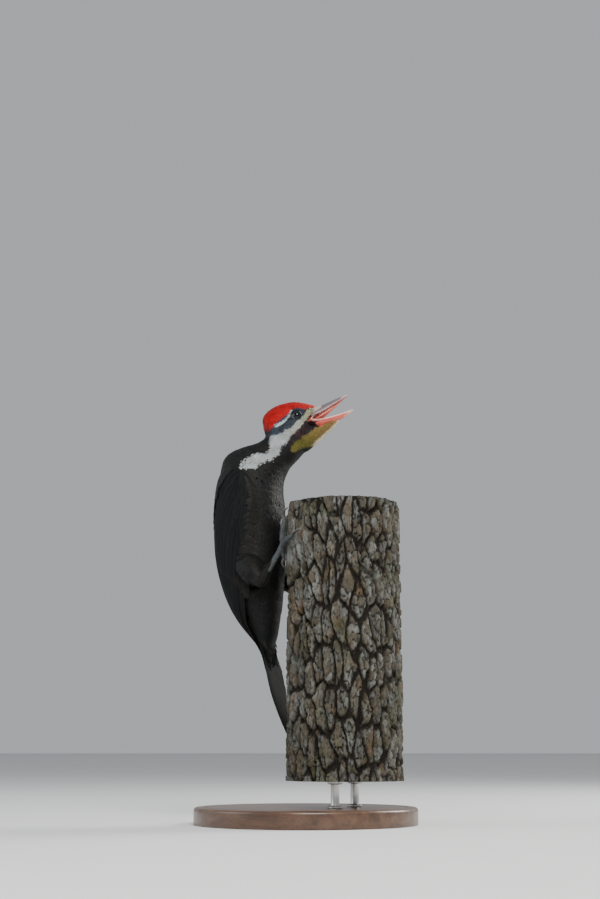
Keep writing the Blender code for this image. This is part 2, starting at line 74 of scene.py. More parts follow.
STATIONS = {
    "forehead":     (67.0, 405.4, 66.0, 397.0, 5.2, 1.0, 1.0, 5.2),
    "lores":        (62.5, 405.6, 61.0, 393.5, 7.8, 1.0, 1.0, 7.8),
    "gape":         (56.5, 407.4, 57.0, 385.0, 10.8, 1.0, 1.0, 10.8),
    "eyes":         (48.5, 409.4, 54.5, 372.0, 13.5, 1.0, 1.0, 13.5),
    "crown":        (38.5, 410.2, 54.0, 361.6, 15.2, 1.0, 1.0, 15.2),
    "crest":        (27.0, 407.6, 49.8, 355.6, 16.2, 1.0, 1.0, 16.2),
    "hind_crown":   (17.0, 401.8, 46.2, 351.2, 16.9, 1.0, 1.0, 16.9),
    "nape":         (11.0, 393.4, 42.6, 347.4, 17.2, 1.0, 0.92, 17.2),
    "low_nape":     (12.2, 382.4, 39.4, 344.4, 17.2, 1.0, 0.76, 17.4),
    "neck_top":     (13.6, 373.6, 37.0, 341.6, 17.8, 0.98, 0.56, 17.8),
    "neck_mid":     (5.0, 367.2, 34.8, 337.4, 19.8, 0.92, 0.36, 20.2),
    "neck_low":     (-9.5, 363.0, 32.6, 332.0, 23.2, 0.80, 0.20, 23.2),
    "neck_base":    (-22.0, 357.6, 31.2, 325.5, 26.2, 0.62, 0.09, 26.2),
    "shoulders":    (-28.4, 350.6, 30.8, 318.0, 28.6, 0.44, 0.02, 28.6),
    "mantle":       (-31.0, 340.0, 31.2, 309.5, 30.2, 0.28, 0.0, 30.2),
    "breast":       (-32.4, 326.0, 31.8, 300.0, 31.4, 0.12, 0.0, 31.4),
    "back":         (-33.4, 308.0, 32.4, 289.0, 32.4, 0.03, 0.0, 32.4),
    "mid_back":     (-34.2, 286.0, 32.8, 273.0, 33.0, 0.0, 0.0, 33.0),
    "flank":        (-33.4, 263.0, 32.6, 254.0, 32.6, 0.0, 0.0, 32.6),
    "low_back":     (-30.0, 241.0, 31.6, 234.0, 30.8, 0.0, 0.0, 31.2),
    "rump":         (-23.6, 220.0, 30.4, 214.0, 27.0, 0.0, 0.0, 28.6),
    "vent":         (-15.4, 202.0, 28.8, 196.0, 21.8, 0.0, 0.0, 25.6),
    "tail_coverts": (-5.0, 186.4, 26.6, 179.0, 16.8, 0.0, 0.0, 22.6),
    "covert_tips":  (8.0, 171.0, 23.4, 163.5, 12.2, 0.0, 0.0, 20.0),
    "tail_root":    (12.4, 156.0, 33.0, 151.0, 9.0, 0.0, 0.0, 18.0),
    "wing_tips":    (17.8, 139.0, 37.0, 135.0, 8.0, 0.0, 0.0, 15.5),
}
NAMES = list(STATIONS)
TABLE = np.array([STATIONS[n] for n in NAMES])
AT = {n: float(i) for i, n in enumerate(NAMES)}

CHIN = np.array([
    (86.0, 390.6, 87.6, 388.8, 2.0), (79.5, 388.4, 82.4, 383.6, 4.4), (71.5, 385.6, 75.0, 376.8, 6.9),
    (64.0, 384.0, 67.6, 369.6, 9.0), (57.0, 384.0, 61.2, 363.6, 10.4), (49.5, 384.0, 55.8, 359.0, 10.6),
    (42.5, 383.0, 50.0, 356.4, 9.2)])

UPPER_BILL = np.array((
    (8.0, -5.0, -10.6, 6.2), (16.0, -3.3, -12.0, 7.1), (24.0, -4.3, -12.3, 6.5), (32.0, -5.0, -11.4, 5.2),
    (40.0, -5.6, -10.5, 3.7), (47.0, -6.5, -9.6, 2.4), (52.0, -7.4, -8.8, 1.35), (54.0, -7.8, -8.5, 0.9)))
LOWER_BILL = np.array((
    (5.5, -15.6, -20.6, 3.6), (14.0, -18.0, -24.2, 6.8), (22.0, -20.0, -26.0, 6.1), (30.0, -21.9, -27.0, 4.8),
    (38.0, -23.3, -27.2, 3.4), (45.0, -24.0, -26.6, 2.1), (49.0, -24.3, -25.6, 1.2), (50.8, -24.4, -25.0, 0.8)))
TONGUE = np.array(((9.6, -14.6, 3.6, 1.6), (17.0, -14.7, 4.2, 2.1), (25.0, -14.1, 3.8, 1.9), (32.0, -13.1, 2.7, 1.35), (37.5, -12.2, 1.5, 0.85), (41.5, -11.6, 0.5, 0.35),
                   (42.4, -11.5, 0.12, 0.12)))
MOUTH = np.array(((6.4, -13.2, -13.8), (8.2, -12.6, -14.6), (12.0, -12.0, -17.0), (20.0, -12.2, -19.4), (34.0, -11.0, -22.6)))
EYE_R, EYE_OUT, EYE_U, EYE_V = 6.0, 9.0, -2.0, -5.3

TAIL_ROOT, TAIL_TIP = (13.0, 192.0), (41.6, 80.0)
TAIL_BOW = 5.0
TAIL_PAIRS = (1.0, 0.965, 0.90, 0.815, 0.72, 0.60)
TAIL_SPREAD, VANE_HALF = 17.0, 6.2

HEEL, KNEE = (29.0, 36.0, 226.0), (5.0, 21.0, 246.0)
TOES = {2: (-17.0, 21.0, 2.5), 3: (11.0, 26.0, 2.7), 4: (70.0, 25.0, 2.5), 1: (188.0, 11.0, 2.1)}
FOOT_BEARING, FOOT_Z = 34.0, 258.0
CLAW_LEN = 14.0

WING = (
    ("shoulders", 70.0, 88.0, 1.6), ("mantle", 44.0, 108.0, 3.2), ("breast", 26.0, 118.0, 4.2), ("back", 13.0, 117.0, 4.4),
    ("mid_back", 6.0, 113.0, 4.2), ("flank", 4.5, 108.0, 3.8), ("low_back", 4.5, 102.0, 3.4), ("rump", 5.0, 95.0, 3.0),
    ("vent", 6.0, 86.0, 2.6), ("tail_coverts", 7.0, 75.0, 2.2), ("covert_tips", 8.0, 65.0, 1.8), ("tail_root", 9.0, 52.0, 1.4),
    ("wing_tips", 14.0, 24.0, 0.9))
WING_ROWS = np.array([(AT[n], d, v, h) for n, d, v, h in WING])
WING_CLEAR = 0.75

# depth of the coat over the skin, length, half width and spacing of the feathers, by station
COAT = {  # depth, length, half width, spacing
    "forehead": (0.6, 3.4, 0.22, 0.58), "lores": (0.7, 3.5, 0.23, 0.60), "gape": (0.8, 3.8, 0.25, 0.62),
    "eyes": (0.9, 4.2, 0.27, 0.64), "crown": (1.2, 5.0, 0.30, 0.68), "crest": (1.7, 6.0, 0.33, 0.73),
    "hind_crown": (2.1, 6.6, 0.36, 0.78), "nape": (2.2, 7.0, 0.40, 0.84), "low_nape": (2.3, 7.2, 0.44, 0.92),
    "neck_top": (2.5, 7.6, 0.50, 1.04), "neck_mid": (2.8, 8.4, 0.60, 1.22), "neck_low": (3.2, 9.2, 0.72, 1.42),
    "neck_base": (3.5, 9.8, 0.90, 1.74), "shoulders": (3.7, 10.6, 1.0, 1.9), "mantle": (3.8, 11.2, 1.05, 2.0),
    "breast": (3.8, 11.6, 1.1, 2.05), "back": (3.8, 11.6, 1.1, 2.05), "mid_back": (3.8, 11.6, 1.1, 2.05),
    "flank": (3.8, 11.6, 1.1, 2.05), "low_back": (3.8, 11.8, 1.1, 2.05), "rump": (3.6, 12.4, 1.1, 2.0),
    "vent": (3.2, 13.0, 1.1, 1.95), "tail_coverts": (2.6, 14.0, 1.1, 1.9), "covert_tips": (1.4, 11.0, 1.0, 1.9)}
COAT_ROWS = np.array(list(COAT.values()))


# =====================================================================================
# surfaces
# =====================================================================================
def rows_at(table, t):
    """Smooth rows between the rows of a table, by Catmull-Rom, for an array of t."""
    table = np.asarray(table, float)
    n = len(table)
    t = np.clip(np.asarray(t, float), 0.0, n - 1.0)
    i = np.minimum(t.astype(int), n - 2)
    f = (t - i)[..., None]
    a, b = table[i], table[i + 1]
    ma = np.where((i > 0)[..., None], (b - table[np.maximum(i - 1, 0)]) / 2, b - a)
    mb = np.where((i + 2 < n)[..., None], (table[np.minimum(i + 2, n - 1)] - a) / 2, b - a)
    return ((2 * f ** 3 - 3 * f ** 2 + 1) * a + (f ** 3 - 2 * f ** 2 + f) * ma
            + (3 * f ** 2 - 2 * f ** 3) * b + (f ** 3 - f ** 2) * mb)


def posed(p, q, z, turn=1.0, roll=1.0):
    r = np.radians(HEAD_ROLL) * roll
    c, s = math.cos(math.radians(HEAD_PITCH)), math.sin(math.radians(HEAD_PITCH))
    dp, dz = p - HEAD_P, z - HEAD_Z
    along, up = dp * c + dz * s, -dp * s + dz * c
    up, q = up * np.cos(r) - q * np.sin(r), q * np.cos(r) + up * np.sin(r)
    p, z = HEAD_P + along * c - up * s, HEAD_Z + along * s + up * c
    a = np.radians(HEAD_TURN) * turn
    return np.stack(np.broadcast_arrays(BODY_X + p * np.cos(a) - q * np.sin(a), p * np.sin(a) + q * np.cos(a), z), -1)


def head_point(u, w, v):
    u, w, v = (np.asarray(x, float) for x in (u, w, v))
    c, s = math.cos(math.radians(HEAD_PITCH)), math.sin(math.radians(HEAD_PITCH))
    return posed(HEAD_P + u * c - v * s, w, HEAD_Z + u * s + v * c)


def in_head(x):
    """The head's own (u, w, v) of world points."""
    x = np.asarray(x, float)
    a, r = math.radians(HEAD_TURN), math.radians(HEAD_ROLL)
    c, s = math.cos(math.radians(HEAD_PITCH)), math.sin(math.radians(HEAD_PITCH))
    px, py = x[..., 0] - BODY_X, x[..., 1]
    p, q = px * math.cos(a) + py * math.sin(a), -px * math.sin(a) + py * math.cos(a)
    dp, dz = p - HEAD_P, x[..., 2] - HEAD_Z
    along, up = dp * c + dz * s, -dp * s + dz * c
    return np.stack((along, q * math.cos(r) - up * math.sin(r), up * math.cos(r) + q * math.sin(r)), -1)


def body(t, theta, out=0.0, wing=False):
    """The body's surface: t down its stations, theta from the back round by its left side."""
    row = rows_at(TABLE, t)
    tp, tz, bp, bz, w, turn, roll, wide = (row[..., k] for k in range(8))
    mp, mz, hp, hz = (tp + bp) / 2, (tz + bz) / 2, (tp - bp) / 2, (tz - bz) / 2
    c, s = np.cos(theta), np.sin(theta)
    grow = 1 + out / np.hypot(hp, hz)
    full = np.sign(s) * np.abs(s) ** (1 - 0.16 * roll * (c < 0))
    q = ((wide if wing else w) + out) * full * (1 - (0.06 + 0.09 * roll) * c)
    return posed(mp + hp * c * grow, q, mz + hz * c * grow, turn, roll)


def chin(t, x, out=0.0):
    row = rows_at(CHIN, t)
    tp, tz, bp, bz, w = (row[..., k] for k in range(5))
    c, s = np.cos(x), np.sin(x)
    grow = 1 + out / np.maximum(np.hypot((tp - bp) / 2, (tz - bz) / 2), 1.0)
    return posed((tp + bp) / 2 + (tp - bp) / 2 * c * grow, (w + out) * s, (tz + bz) / 2 + (tz - bz) / 2 * c * grow)


def wing_at(t, f, side, out):
    row = rows_at(WING_ROWS, t)
    at, dorsal, ventral, thick = (row[..., k] for k in range(4))
    bulge = 0.9 + np.maximum(thick - 0.9, 0.0) * np.maximum(np.sin(np.pi * np.clip(f, 0, 1)), 0.0) ** 0.6
    return body(at, side * np.radians(dorsal + (ventral - dorsal) * f), WING_CLEAR + bulge * out, wing=True)


def bark_radius(angle, z):
    h = (z - LOG_Z0) / LOG_H
    wander = 0.5 * np.sin(5.2 * h + 1.3) + 0.28 * np.sin(12.0 * h + 2.0 * angle)
    ridge = np.abs(np.sin(BARK_RIDGES / 2 * angle + wander))
    return (LOG_R * (1 + 0.012 * np.cos(2 * angle + 0.8)) * (1.01 - 0.02 * h)
            + BARK_DEPTH * (ridge ** 0.7 - 0.75) + 0.5 * np.sin(9 * angle + 17 * h))


def on_log(bearing, z, off):
    a = math.pi - math.radians(bearing)
    r = LOG_R + BARK_DEPTH * 0.25 + 1.3 + off
    return np.array((LOG_X + r * math.cos(a), r * math.sin(a), z))


def unit(v):
    return v / np.maximum(np.linalg.norm(v, axis=-1, keepdims=True), 1e-9)


def smooth_path(points, n):
    """n points along a Catmull-Rom curve through the given ones."""
    points = np.asarray(points, float)
    return rows_at(points, np.linspace(0, len(points) - 1, n))


def smoothstep(a, b, x):
    t = np.clip((x - a) / (b - a), 0, 1)
    return t * t * (3 - 2 * t)


# ---- a small noise, the same on every run --------------------------------------------
_lattice = np.random.default_rng(5).random((64, 64, 64))


def noise3(x):
    """Smooth value noise in 0..1 of points (..., 3), one unit to a cell."""
    i = np.floor(x).astype(int)
    f = x - i
    f = f * f * (3 - 2 * f)
    total = 0.0
    for dx in (0, 1):
        for dy in (0, 1):
            for dz in (0, 1):
                w = (np.abs(1 - dx - f[..., 0]) * np.abs(1 - dy - f[..., 1]) * np.abs(1 - dz - f[..., 2]))
                total = total + w * _lattice[(i[..., 0] + dx) % 64, (i[..., 1] + dy) % 64, (i[..., 2] + dz) % 64]
    return total


def cloud(x, octaves=3):
    return sum(noise3(x * 2 ** k + 7.3 * k) * 0.5 ** k for k in range(octaves)) / sum(0.5 ** k for k in range(octaves))


# =====================================================================================
# markings: on the head's own axes, by u along the bill and the angle round from the crown
# =====================================================================================
def unrolled(x):
    """(u, degrees round from the crown) of world points of the right-hand side."""
    h = in_head(x)
    u = h[..., 0]
    v0 = -10 + 0.55 * np.minimum(0, u + 15)
    return u, np.degrees(np.arctan2(np.abs(h[..., 1]), h[..., 2] - v0))


RED_EDGE = ((-36, 12), (-34, 42), (-29.6, 50), (-25, 51), (-19.8, 56), (-14.3, 62), (-10, 57), (-5.5, 48), (-1.6, 43), (1.9, 41),
            (4, 46), (7.6, 57), (11, 60), (16, 56), (20, 50), (24, 40))
EAR_EDGE = ((-37, 46), (-36, 50), (-33.7, 62), (-30.3, 78), (-25.3, 92), (-20.1, 98), (-15.1, 111), (-11, 107), (-6.3, 99), (-1.2, 96),
            (3, 89), (6.9, 79), (9.6, 68), (12, 61), (16, 55), (20, 46), (24, 34))
PALE_EDGE = ((-80, 50), (-77, 54), (-71, 70), (-62, 93), (-56.4, 96), (-52, 104), (-48.5, 113), (-42, 120), (-35.7, 127), (-34.3, 122),
             (-31.7, 119), (-26, 126), (-19, 125), (-15, 127), (-9.6, 124), (-5.5, 121), (-1.5, 119), (3.6, 110), (7.1, 101), (10.2, 94),
             (16, 100), (24, 110))
PALE_BACK = ((-80, 52), (-71, 47), (-63, 54), (-55.6, 61), (-51.9, 76), (-47.7, 84), (-43, 88), (-41, 80), (-39, 60), (-36.6, 46))
MALAR_EDGE = ((-25.5, 128), (-24, 141), (-19, 143), (-13.1, 146), (-8.3, 149), (-3.5, 150), (0.6, 149), (4.5, 149), (8.0, 149), (10.0, 144),
              (12.0, 132), (14.0, 120))
THROAT_BACK = ((140, -24), (150, -25.7), (157, -22.2), (163, -16.2), (168, -10.7), (174, -4.5), (180, -2.5))
WHITE_LINE = ((-4.0, 46), (-5.4, 50), (-7.6, 58), (-10.3, 66), (-13.8, 72), (-17.6, 71), (-21.3, 67), (-24.8, 62), (-26.5, 56))
WHITE_WIDTH = ((-27, 0.55), (-25, 0.9), (-21, 1.25), (-15, 1.2), (-10, 0.95), (-6, 0.85), (-4, 0.7))

# the third red, lighter, is a painted highlight for the front of the crown
RED, RED_DEEP, RED_FRONT_HIGHLIGHT = (0.40, 0.0022, 0.0032), (0.15, 0.0016, 0.0020), (0.60, 0.035, 0.028)
SLATE, SLATE_DARK = (0.026, 0.036, 0.052), (0.010, 0.013, 0.018)
PALE_NECK, PALE_FACE, CREAM = (0.33, 0.355, 0.36), (0.30, 0.315, 0.275), (0.30, 0.30, 0.185)
MALAR, MALAR_MAROON = (0.016, 0.010, 0.013), (0.036, 0.014, 0.014)
# the throat's olive and ochre are a whitish throat in painted shade, and its pale cream is a painted rim light
OLIVE_SHADE, OCHRE, CHIN_RIM_LIGHT = (0.108, 0.098, 0.018), (0.235, 0.150, 0.052), (0.80, 0.68, 0.47)
BLACK, BLACK_BROWN = (0.0050, 0.0057, 0.0058), (0.0095, 0.0082, 0.0065)
LINE_WHITE = (0.46, 0.52, 0.53)


def edge(table, x):
    a = np.array(table, float)
    return np.interp(x, a[:, 0], a[:, 1])


def mix(a, b, f):
    f = np.asarray(f, float)[..., None]
    return np.asarray(a, float) * (1 - f) + np.asarray(b, float) * f


def from_line(u, phi, line, scale=0.27):
    """Distance in mm from a line on the unrolled head."""
    best = np.full(u.shape, 1e9)
    pts = np.stack((u, phi * scale), -1)
    line = np.array(line, float) * (1, scale)
    for a, b in zip(line, line[1:]):
        d = b - a
        f = np.clip(((pts - a) @ d) / (d @ d), 0, 1)
        best = np.minimum(best, np.linalg.norm(pts - (a + f[..., None] * d), axis=-1))
    return best


def markings(x, jitter=0.0):
    """The coat's colour at places x on the right-hand side (their mirror twins on the left)."""
    u, phi = unrolled(x)
    if jitter:
        u = u + rng.normal(0, jitter, u.shape)
        phi = phi + rng.normal(0, jitter * 3.6, u.shape)
    n = u.shape
    colour = np.empty(n + (3,))
    wave = cloud(x / 6.0)
    colour[:] = mix(BLACK, BLACK_BROWN, smoothstep(0.45, 0.75, wave))
    # throat: whitish buff feathers in painted shade, olive going to ochre towards the bill
    tucked = (u > -2) & (u < 12.5) & (phi > 128) & (in_head(x)[..., 2] > -25.6)        # right under the lower bill's base
    throat = (phi >= edge(MALAR_EDGE, u)) & (u > edge(THROAT_BACK, phi)) & (phi > 128) & ~tucked
    # towards the middle of the underside the throat turns pale cream, a painted rim light
    tone = mix(mix(OLIVE_SHADE, OCHRE, 0.35 * smoothstep(0.42, 0.75, wave) + 0.65 * smoothstep(-6, 15, u)), CHIN_RIM_LIGHT, smoothstep(168, 177, phi) * smoothstep(-6, 4, u))
    colour[throat] = tone[throat]
    # malar stripe
    malar = (phi < edge(MALAR_EDGE, u)) & (phi >= edge(PALE_EDGE, u)) & (u > -25.5) | tucked
    tone = mix(MALAR, MALAR_MAROON, smoothstep(0.5, 0.7, wave) * (u < 4) * (u > -14))
    colour[malar] = tone[malar]
    # pale stripe, from the nostrils under the eye and down the side of the neck
    front = (u > -36.8) & (phi >= edge(EAR_EDGE, u)) & (phi < edge(PALE_EDGE, u))
    front |= (u > 11.5) & (phi >= edge(EAR_EDGE, u)) & (in_head(x)[..., 2] > -15)
    behind = (u <= -36.8) & (u > -79) & (phi >= edge(PALE_BACK, u)) & (phi < edge(PALE_EDGE, u))
    tone = mix(mix(PALE_NECK, PALE_FACE, smoothstep(-30, -8, u)), CREAM, smoothstep(-4, 7, u))
    tone = mix(tone, (0.50, 0.46, 0.40), smoothstep(13, 19, u))
    tone = tone * (0.72 + 0.5 * wave)[..., None]
    pale = front | behind
    colour[pale] = tone[pale]
    # dark patch round the eye and over the ear
    ear = (u > -37) & (u < 13) & (phi >= edge(RED_EDGE, u)) & (phi < edge(EAR_EDGE, u))
    tone = mix(SLATE, SLATE_DARK, smoothstep(0.45, 0.72, wave))
    colour[ear] = tone[ear]
    line = (from_line(u, phi, WHITE_LINE) < edge(WHITE_WIDTH, u))
    colour[line] = (mix(LINE_WHITE, (0.36, 0.41, 0.43), wave))[line]
    # red crown, lighter towards the bill as a painted highlight on its front
    red = (u > -36) & (phi < edge(RED_EDGE, u)) & ~line
    tone = mix(RED, RED_DEEP, smoothstep(0.5, 0.78, wave) * 0.55)
    tone = mix(tone, RED_FRONT_HIGHLIGHT, smoothstep(5, 15, u) * 0.8)
    # the whitish buff nasal tufts in front, made lighter and pinkish as a painted sunlit highlight
    tone = mix(tone, (0.52, 0.36, 0.31), smoothstep(17, 22, u))
    colour[red] = tone[red]
    return colour


# =====================================================================================
# meshes
# =====================================================================================
def new_mesh(name, co, quads=None, tris=None, colour=None, uv=None, vane=None, sharp=None):
    """A mesh object from arrays.  co is in millimetres; colour and the maps are by vertex."""
    parts, totals = [], []
    for faces, k in ((quads, 4), (tris, 3)):
        if faces is not None and len(faces):
            parts.append(np.asarray(faces, np.int32).reshape(-1))
            totals.append(np.full(len(parts[-1]) // k, k, np.int32))
    loops, totals = np.concatenate(parts), np.concatenate(totals)
    me = bpy.data.meshes.new(name)
    me.vertices.add(len(co))
    me.vertices.foreach_set("co", (np.asarray(co) * MM).astype(np.float32).ravel())
    me.loops.add(len(loops))
    me.loops.foreach_set("vertex_index", loops)
    me.polygons.add(len(totals))
    me.polygons.foreach_set("loop_start", np.concatenate(([0], np.cumsum(totals)[:-1])).astype(np.int32))
    me.update(calc_edges=True)
    me.validate()
    if colour is not None:
        a = me.color_attributes.new(name="Tint", type="FLOAT_COLOR", domain="POINT")
        a.data.foreach_set("color", np.concatenate((colour, np.ones((len(colour), 1))), 1).astype(np.float32).ravel())
    for which, data in (("OFBake", uv), ("Vane", vane)):
        if data is not None:
            layer = me.uv_layers.new(name=which)
            layer.data.foreach_set("uv", np.asarray(data, np.float32)[loops].ravel())
    me.shade_smooth()
    if sharp:
        me.set_sharp_from_angle(angle=math.radians(sharp))
    obj = bpy.data.objects.new(name, me)
    bpy.context.scene.collection.objects.link(obj)
    return obj


def tube_faces(rings, around, first=0, flip=False):
    """Quads of a grid of rings, and the fans at both ends onto two last vertices."""
    i, j = np.meshgrid(np.arange(rings - 1), np.arange(around), indexing="ij")
    k = (j + 1) % around
    quads = np.stack((i * around + j, (i + 1) * around + j, (i + 1) * around + k, i * around + k), -1).reshape(-1, 4)
    j = np.arange(around)
    k = (j + 1) % around
    a, b = rings * around, rings * around + 1
    tris = np.concatenate((np.stack((np.full(around, a), j, k), -1),
                           np.stack((np.full(around, b), (rings - 1) * around + k, (rings - 1) * around + j), -1)))
    if flip:
        quads, tris = quads[:, ::-1], tris[:, ::-1]
    return quads + first, tris + first


def closed_tube(name, grid, colour=None, flip=False, sharp=None, vane=None):
    """A closed solid of a grid (rings, around, 3)."""
    n, m = grid.shape[:2]
    co = np.concatenate((grid.reshape(-1, 3), grid[0].mean(0)[None], grid[-1].mean(0)[None]))
    quads, tris = tube_faces(n, m, flip=flip)
    if colour is not None:
        colour = np.concatenate((colour.reshape(-1, 3), colour[0].mean(0)[None], colour[-1].mean(0)[None]))
    if vane is not None:
        vane = np.concatenate((vane.reshape(-1, 2), vane[0].mean(0)[None], vane[-1].mean(0)[None]))
    return new_mesh(name, co, quads, tris, colour, sharp=sharp, vane=vane)


def frames_along(path, up):
    """Tangent, side and up at each point of a path, for a wished-for up."""
    path = np.asarray(path, float)
    ahead = unit(np.gradient(path, axis=0))
    side = unit(np.cross(ahead, up))
    return ahead, side, np.cross(side, ahead)


def applied(obj):
    """The object with its modifiers in its mesh."""
    bpy.context.view_layer.update()
    dg = bpy.context.evaluated_depsgraph_get()
    me = bpy.data.meshes.new_from_object(obj.evaluated_get(dg))
    old = obj.data
    obj.modifiers.clear()
    obj.data = me
    bpy.data.meshes.remove(old)
    return obj


def joined(name, objs):
    """One object of several meshes, by arrays."""
    co, quads, tris, at = [], [], [], 0
    for o in objs:
        me = o.data
        c = np.empty(len(me.vertices) * 3, np.float32)
        me.vertices.foreach_get("co", c)
        co.append(c.reshape(-1, 3) / MM)
        n = np.empty(len(me.polygons), np.int32)
        me.polygons.foreach_get("loop_total", n)
        v = np.empty(len(me.loops), np.int32)
        me.loops.foreach_get("vertex_index", v)
        starts = np.concatenate(([0], np.cumsum(n)[:-1]))
        for k, where in ((4, quads), (3, tris)):
            s = starts[n == k]
            if len(s):
                where.append(v[s[:, None] + np.arange(k)] + at)
        at += len(me.vertices)
        bpy.data.objects.remove(o)
    return new_mesh(name, np.concatenate(co), np.concatenate(quads) if quads else None, np.concatenate(tris) if tris else None)


def remesh(obj, voxel, smooth=0):
    m = obj.modifiers.new("one", "REMESH")
    m.mode, m.voxel_size, m.adaptivity, m.use_smooth_shade = "VOXEL", voxel * MM, 0.0, True
    if smooth:
        s = obj.modifiers.new("soft", "SMOOTH")
        s.factor, s.iterations = 0.5, smooth
    return applied(obj)


def cut_or_join(obj, operation, other, drop=True):
    for solver in ("MANIFOLD", "EXACT"):
        m = obj.modifiers.new("b", "BOOLEAN")
        try:
            m.operation, m.object, m.solver = operation, other, solver
        except TypeError:
            obj.modifiers.clear()
            continue
        bpy.context.view_layer.update()
        me = bpy.data.meshes.new_from_object(obj.evaluated_get(bpy.context.evaluated_depsgraph_get()))
        obj.modifiers.clear()
        if len(me.polygons) > 0.4 * len(obj.data.polygons) and (operation != "UNION" or len(me.polygons) > len(obj.data.polygons)):
            old = obj.data
            obj.data = me
            bpy.data.meshes.remove(old)
            break
        told(f"{solver} {operation} of {other.name} gave {len(me.polygons)} faces")
    if drop:
        bpy.data.objects.remove(other)
    return obj


def coordinates(obj):
    c = np.empty(len(obj.data.vertices) * 3, np.float32)
    obj.data.vertices.foreach_get("co", c)
    return c.reshape(-1, 3).astype(float) / MM


def paint(obj, colour):
    me = obj.data
    a = me.color_attributes.get("Tint") or me.color_attributes.new(name="Tint", type="FLOAT_COLOR", domain="POINT")
    a.data.foreach_set("color", np.concatenate((colour, np.ones((len(colour), 1))), 1).astype(np.float32).ravel())


# =====================================================================================
# materials
# =====================================================================================
class Nodes:
    """Short words for building a Principled material."""

    def __init__(self, name, rough=0.5, metallic=0.0, **sockets):
        self.m = bpy.data.materials.new(name)
        self.m.use_nodes = True
        self.t = self.m.node_tree
        self.bsdf = self.t.nodes["Principled BSDF"]
        self.bsdf.inputs["Roughness"].default_value = rough
        self.bsdf.inputs["Metallic"].default_value = metallic
        for k, v in sockets.items():
            self.bsdf.inputs[k.replace("_", " ")].default_value = v

    def node(self, kind, **props):
        n = self.t.nodes.new(kind)
        for k, v in props.items():
            if k in n.inputs.keys():
                n.inputs[k].default_value = v
            elif hasattr(n, k):
                setattr(n, k, v)
            else:
                n.inputs[k.replace("_", " ")].default_value = v
        return n

    def link(self, a, b):
        self.t.links.new(a, b)

    def coords(self, scale=(1, 1, 1)):
        c = self.node("ShaderNodeTexCoord")
        m = self.node("ShaderNodeMapping")
        m.inputs["Scale"].default_value = scale
        self.link(c.outputs["Object"], m.inputs["Vector"])
        return m.outputs["Vector"]

    def noise(self, vector, scale, detail=3.0, rough=0.55, distort=0.0):
        n = self.node("ShaderNodeTexNoise", Scale=scale, Detail=detail, Roughness=rough, Distortion=distort)
        self.link(vector, n.inputs["Vector"])
        return n.outputs["Fac"]

    def ramp(self, fac, stops):
        r = self.node("ShaderNodeValToRGB")
        e = r.color_ramp.elements
        while len(e) < len(stops):
            e.new(0.5)
        for el, (p, c) in zip(e, stops):
            el.position = p
            el.color = (*c, 1.0) if len(c) == 3 else c
        self.link(fac, r.inputs["Fac"])
        return r.outputs["Color"]

    def blend(self, kind, fac, a, b):
        n = self.node("ShaderNodeMix", data_type="RGBA", blend_type=kind)
        for socket, value in (("Factor", fac), ("A", a), ("B", b)):
            s = [x for x in n.inputs if x.name == socket and (x.type == "RGBA" if socket != "Factor" else x.type == "VALUE")][0]
            if isinstance(value, (int, float)):
                s.default_value = value
            elif isinstance(value, tuple):
                s.default_value = (*value, 1.0)
            else:
                self.link(value, s)
        return [x for x in n.outputs if x.type == "RGBA"][0]

    def maths(self, op, a, b=None, clamp=False):
        n = self.node("ShaderNodeMath", operation=op, use_clamp=clamp)
        for i, v in enumerate((a, b)):
            if v is None:
                continue
            if isinstance(v, (int, float)):
                n.inputs[i].default_value = v
            else:
                self.link(v, n.inputs[i])
        return n.outputs[0]

    def tint(self):
        return self.node("ShaderNodeVertexColor", layer_name="Tint").outputs["Color"]

    def colour(self, out):
        self.link(out, self.bsdf.inputs["Base Color"])

    def roughness(self, fac, lo, hi):
        r = self.node("ShaderNodeMapRange")
        r.inputs["To Min"].default_value, r.inputs["To Max"].default_value = lo, hi
        self.link(fac, r.inputs["Value"])
        self.link(r.outputs["Result"], self.bsdf.inputs["Roughness"])

    def bump(self, height, strength, distance):
        b = self.node("ShaderNodeBump", Strength=strength, Distance=distance)
        self.link(height, b.inputs["Height"])
        self.link(b.outputs["Normal"], self.bsdf.inputs["Normal"])


def plumage_material(name, rough, sheen, barbs=0.0, shine=0.16):
    k = Nodes(name, rough)
    k.bsdf.inputs["Sheen Weight"].default_value = sheen
    k.bsdf.inputs["Sheen Roughness"].default_value = 0.45
    k.bsdf.inputs["Specular IOR Level"].default_value = shine
    n = k.noise(k.coords(), 900.0, 2.0)
    shade = k.ramp(n, ((0.30, (0.72, 0.72, 0.72)), (0.70, (1.0, 1.0, 1.0))))
    k.colour(k.blend("MULTIPLY", 1.0, k.tint(), shade))
    k.roughness(n, rough - 0.08, rough + 0.12)
    if barbs:
        uv = k.node("ShaderNodeUVMap", uv_map="Vane").outputs["UV"]
        sep = k.node("ShaderNodeSeparateXYZ")
        k.link(uv, sep.inputs["Vector"])
        # barbs run out and forward from the shaft; x is along, y across from -1 to 1
        slant = k.maths("ADD", sep.outputs["X"], k.maths("MULTIPLY", k.maths("ABSOLUTE", sep.outputs["Y"]), -barbs))
        wave = k.maths("SINE", k.maths("MULTIPLY", slant, 13.0))
        k.bump(wave, 0.16, 0.00010)
    return k.m


def skin_material():
    k = Nodes("bird_skin", 0.52)
    k.bsdf.inputs["Specular IOR Level"].default_value = 0.22
    c = k.coords()
    n = k.noise(c, 700.0, 3.0)
    cells = k.node("ShaderNodeTexVoronoi", Scale=900.0)
    k.link(c, cells.inputs["Vector"])
    shade = k.ramp(n, ((0.25, (0.72, 0.72, 0.72)), (0.75, (1.12, 1.12, 1.12))))
    k.colour(k.blend("MULTIPLY", 1.0, k.tint(), shade))
    k.roughness(n, 0.42, 0.66)
    k.bump(k.maths("ADD", n, k.maths("MULTIPLY", cells.outputs["Distance"], 0.8)), 0.35, 0.00018)
    return k.m


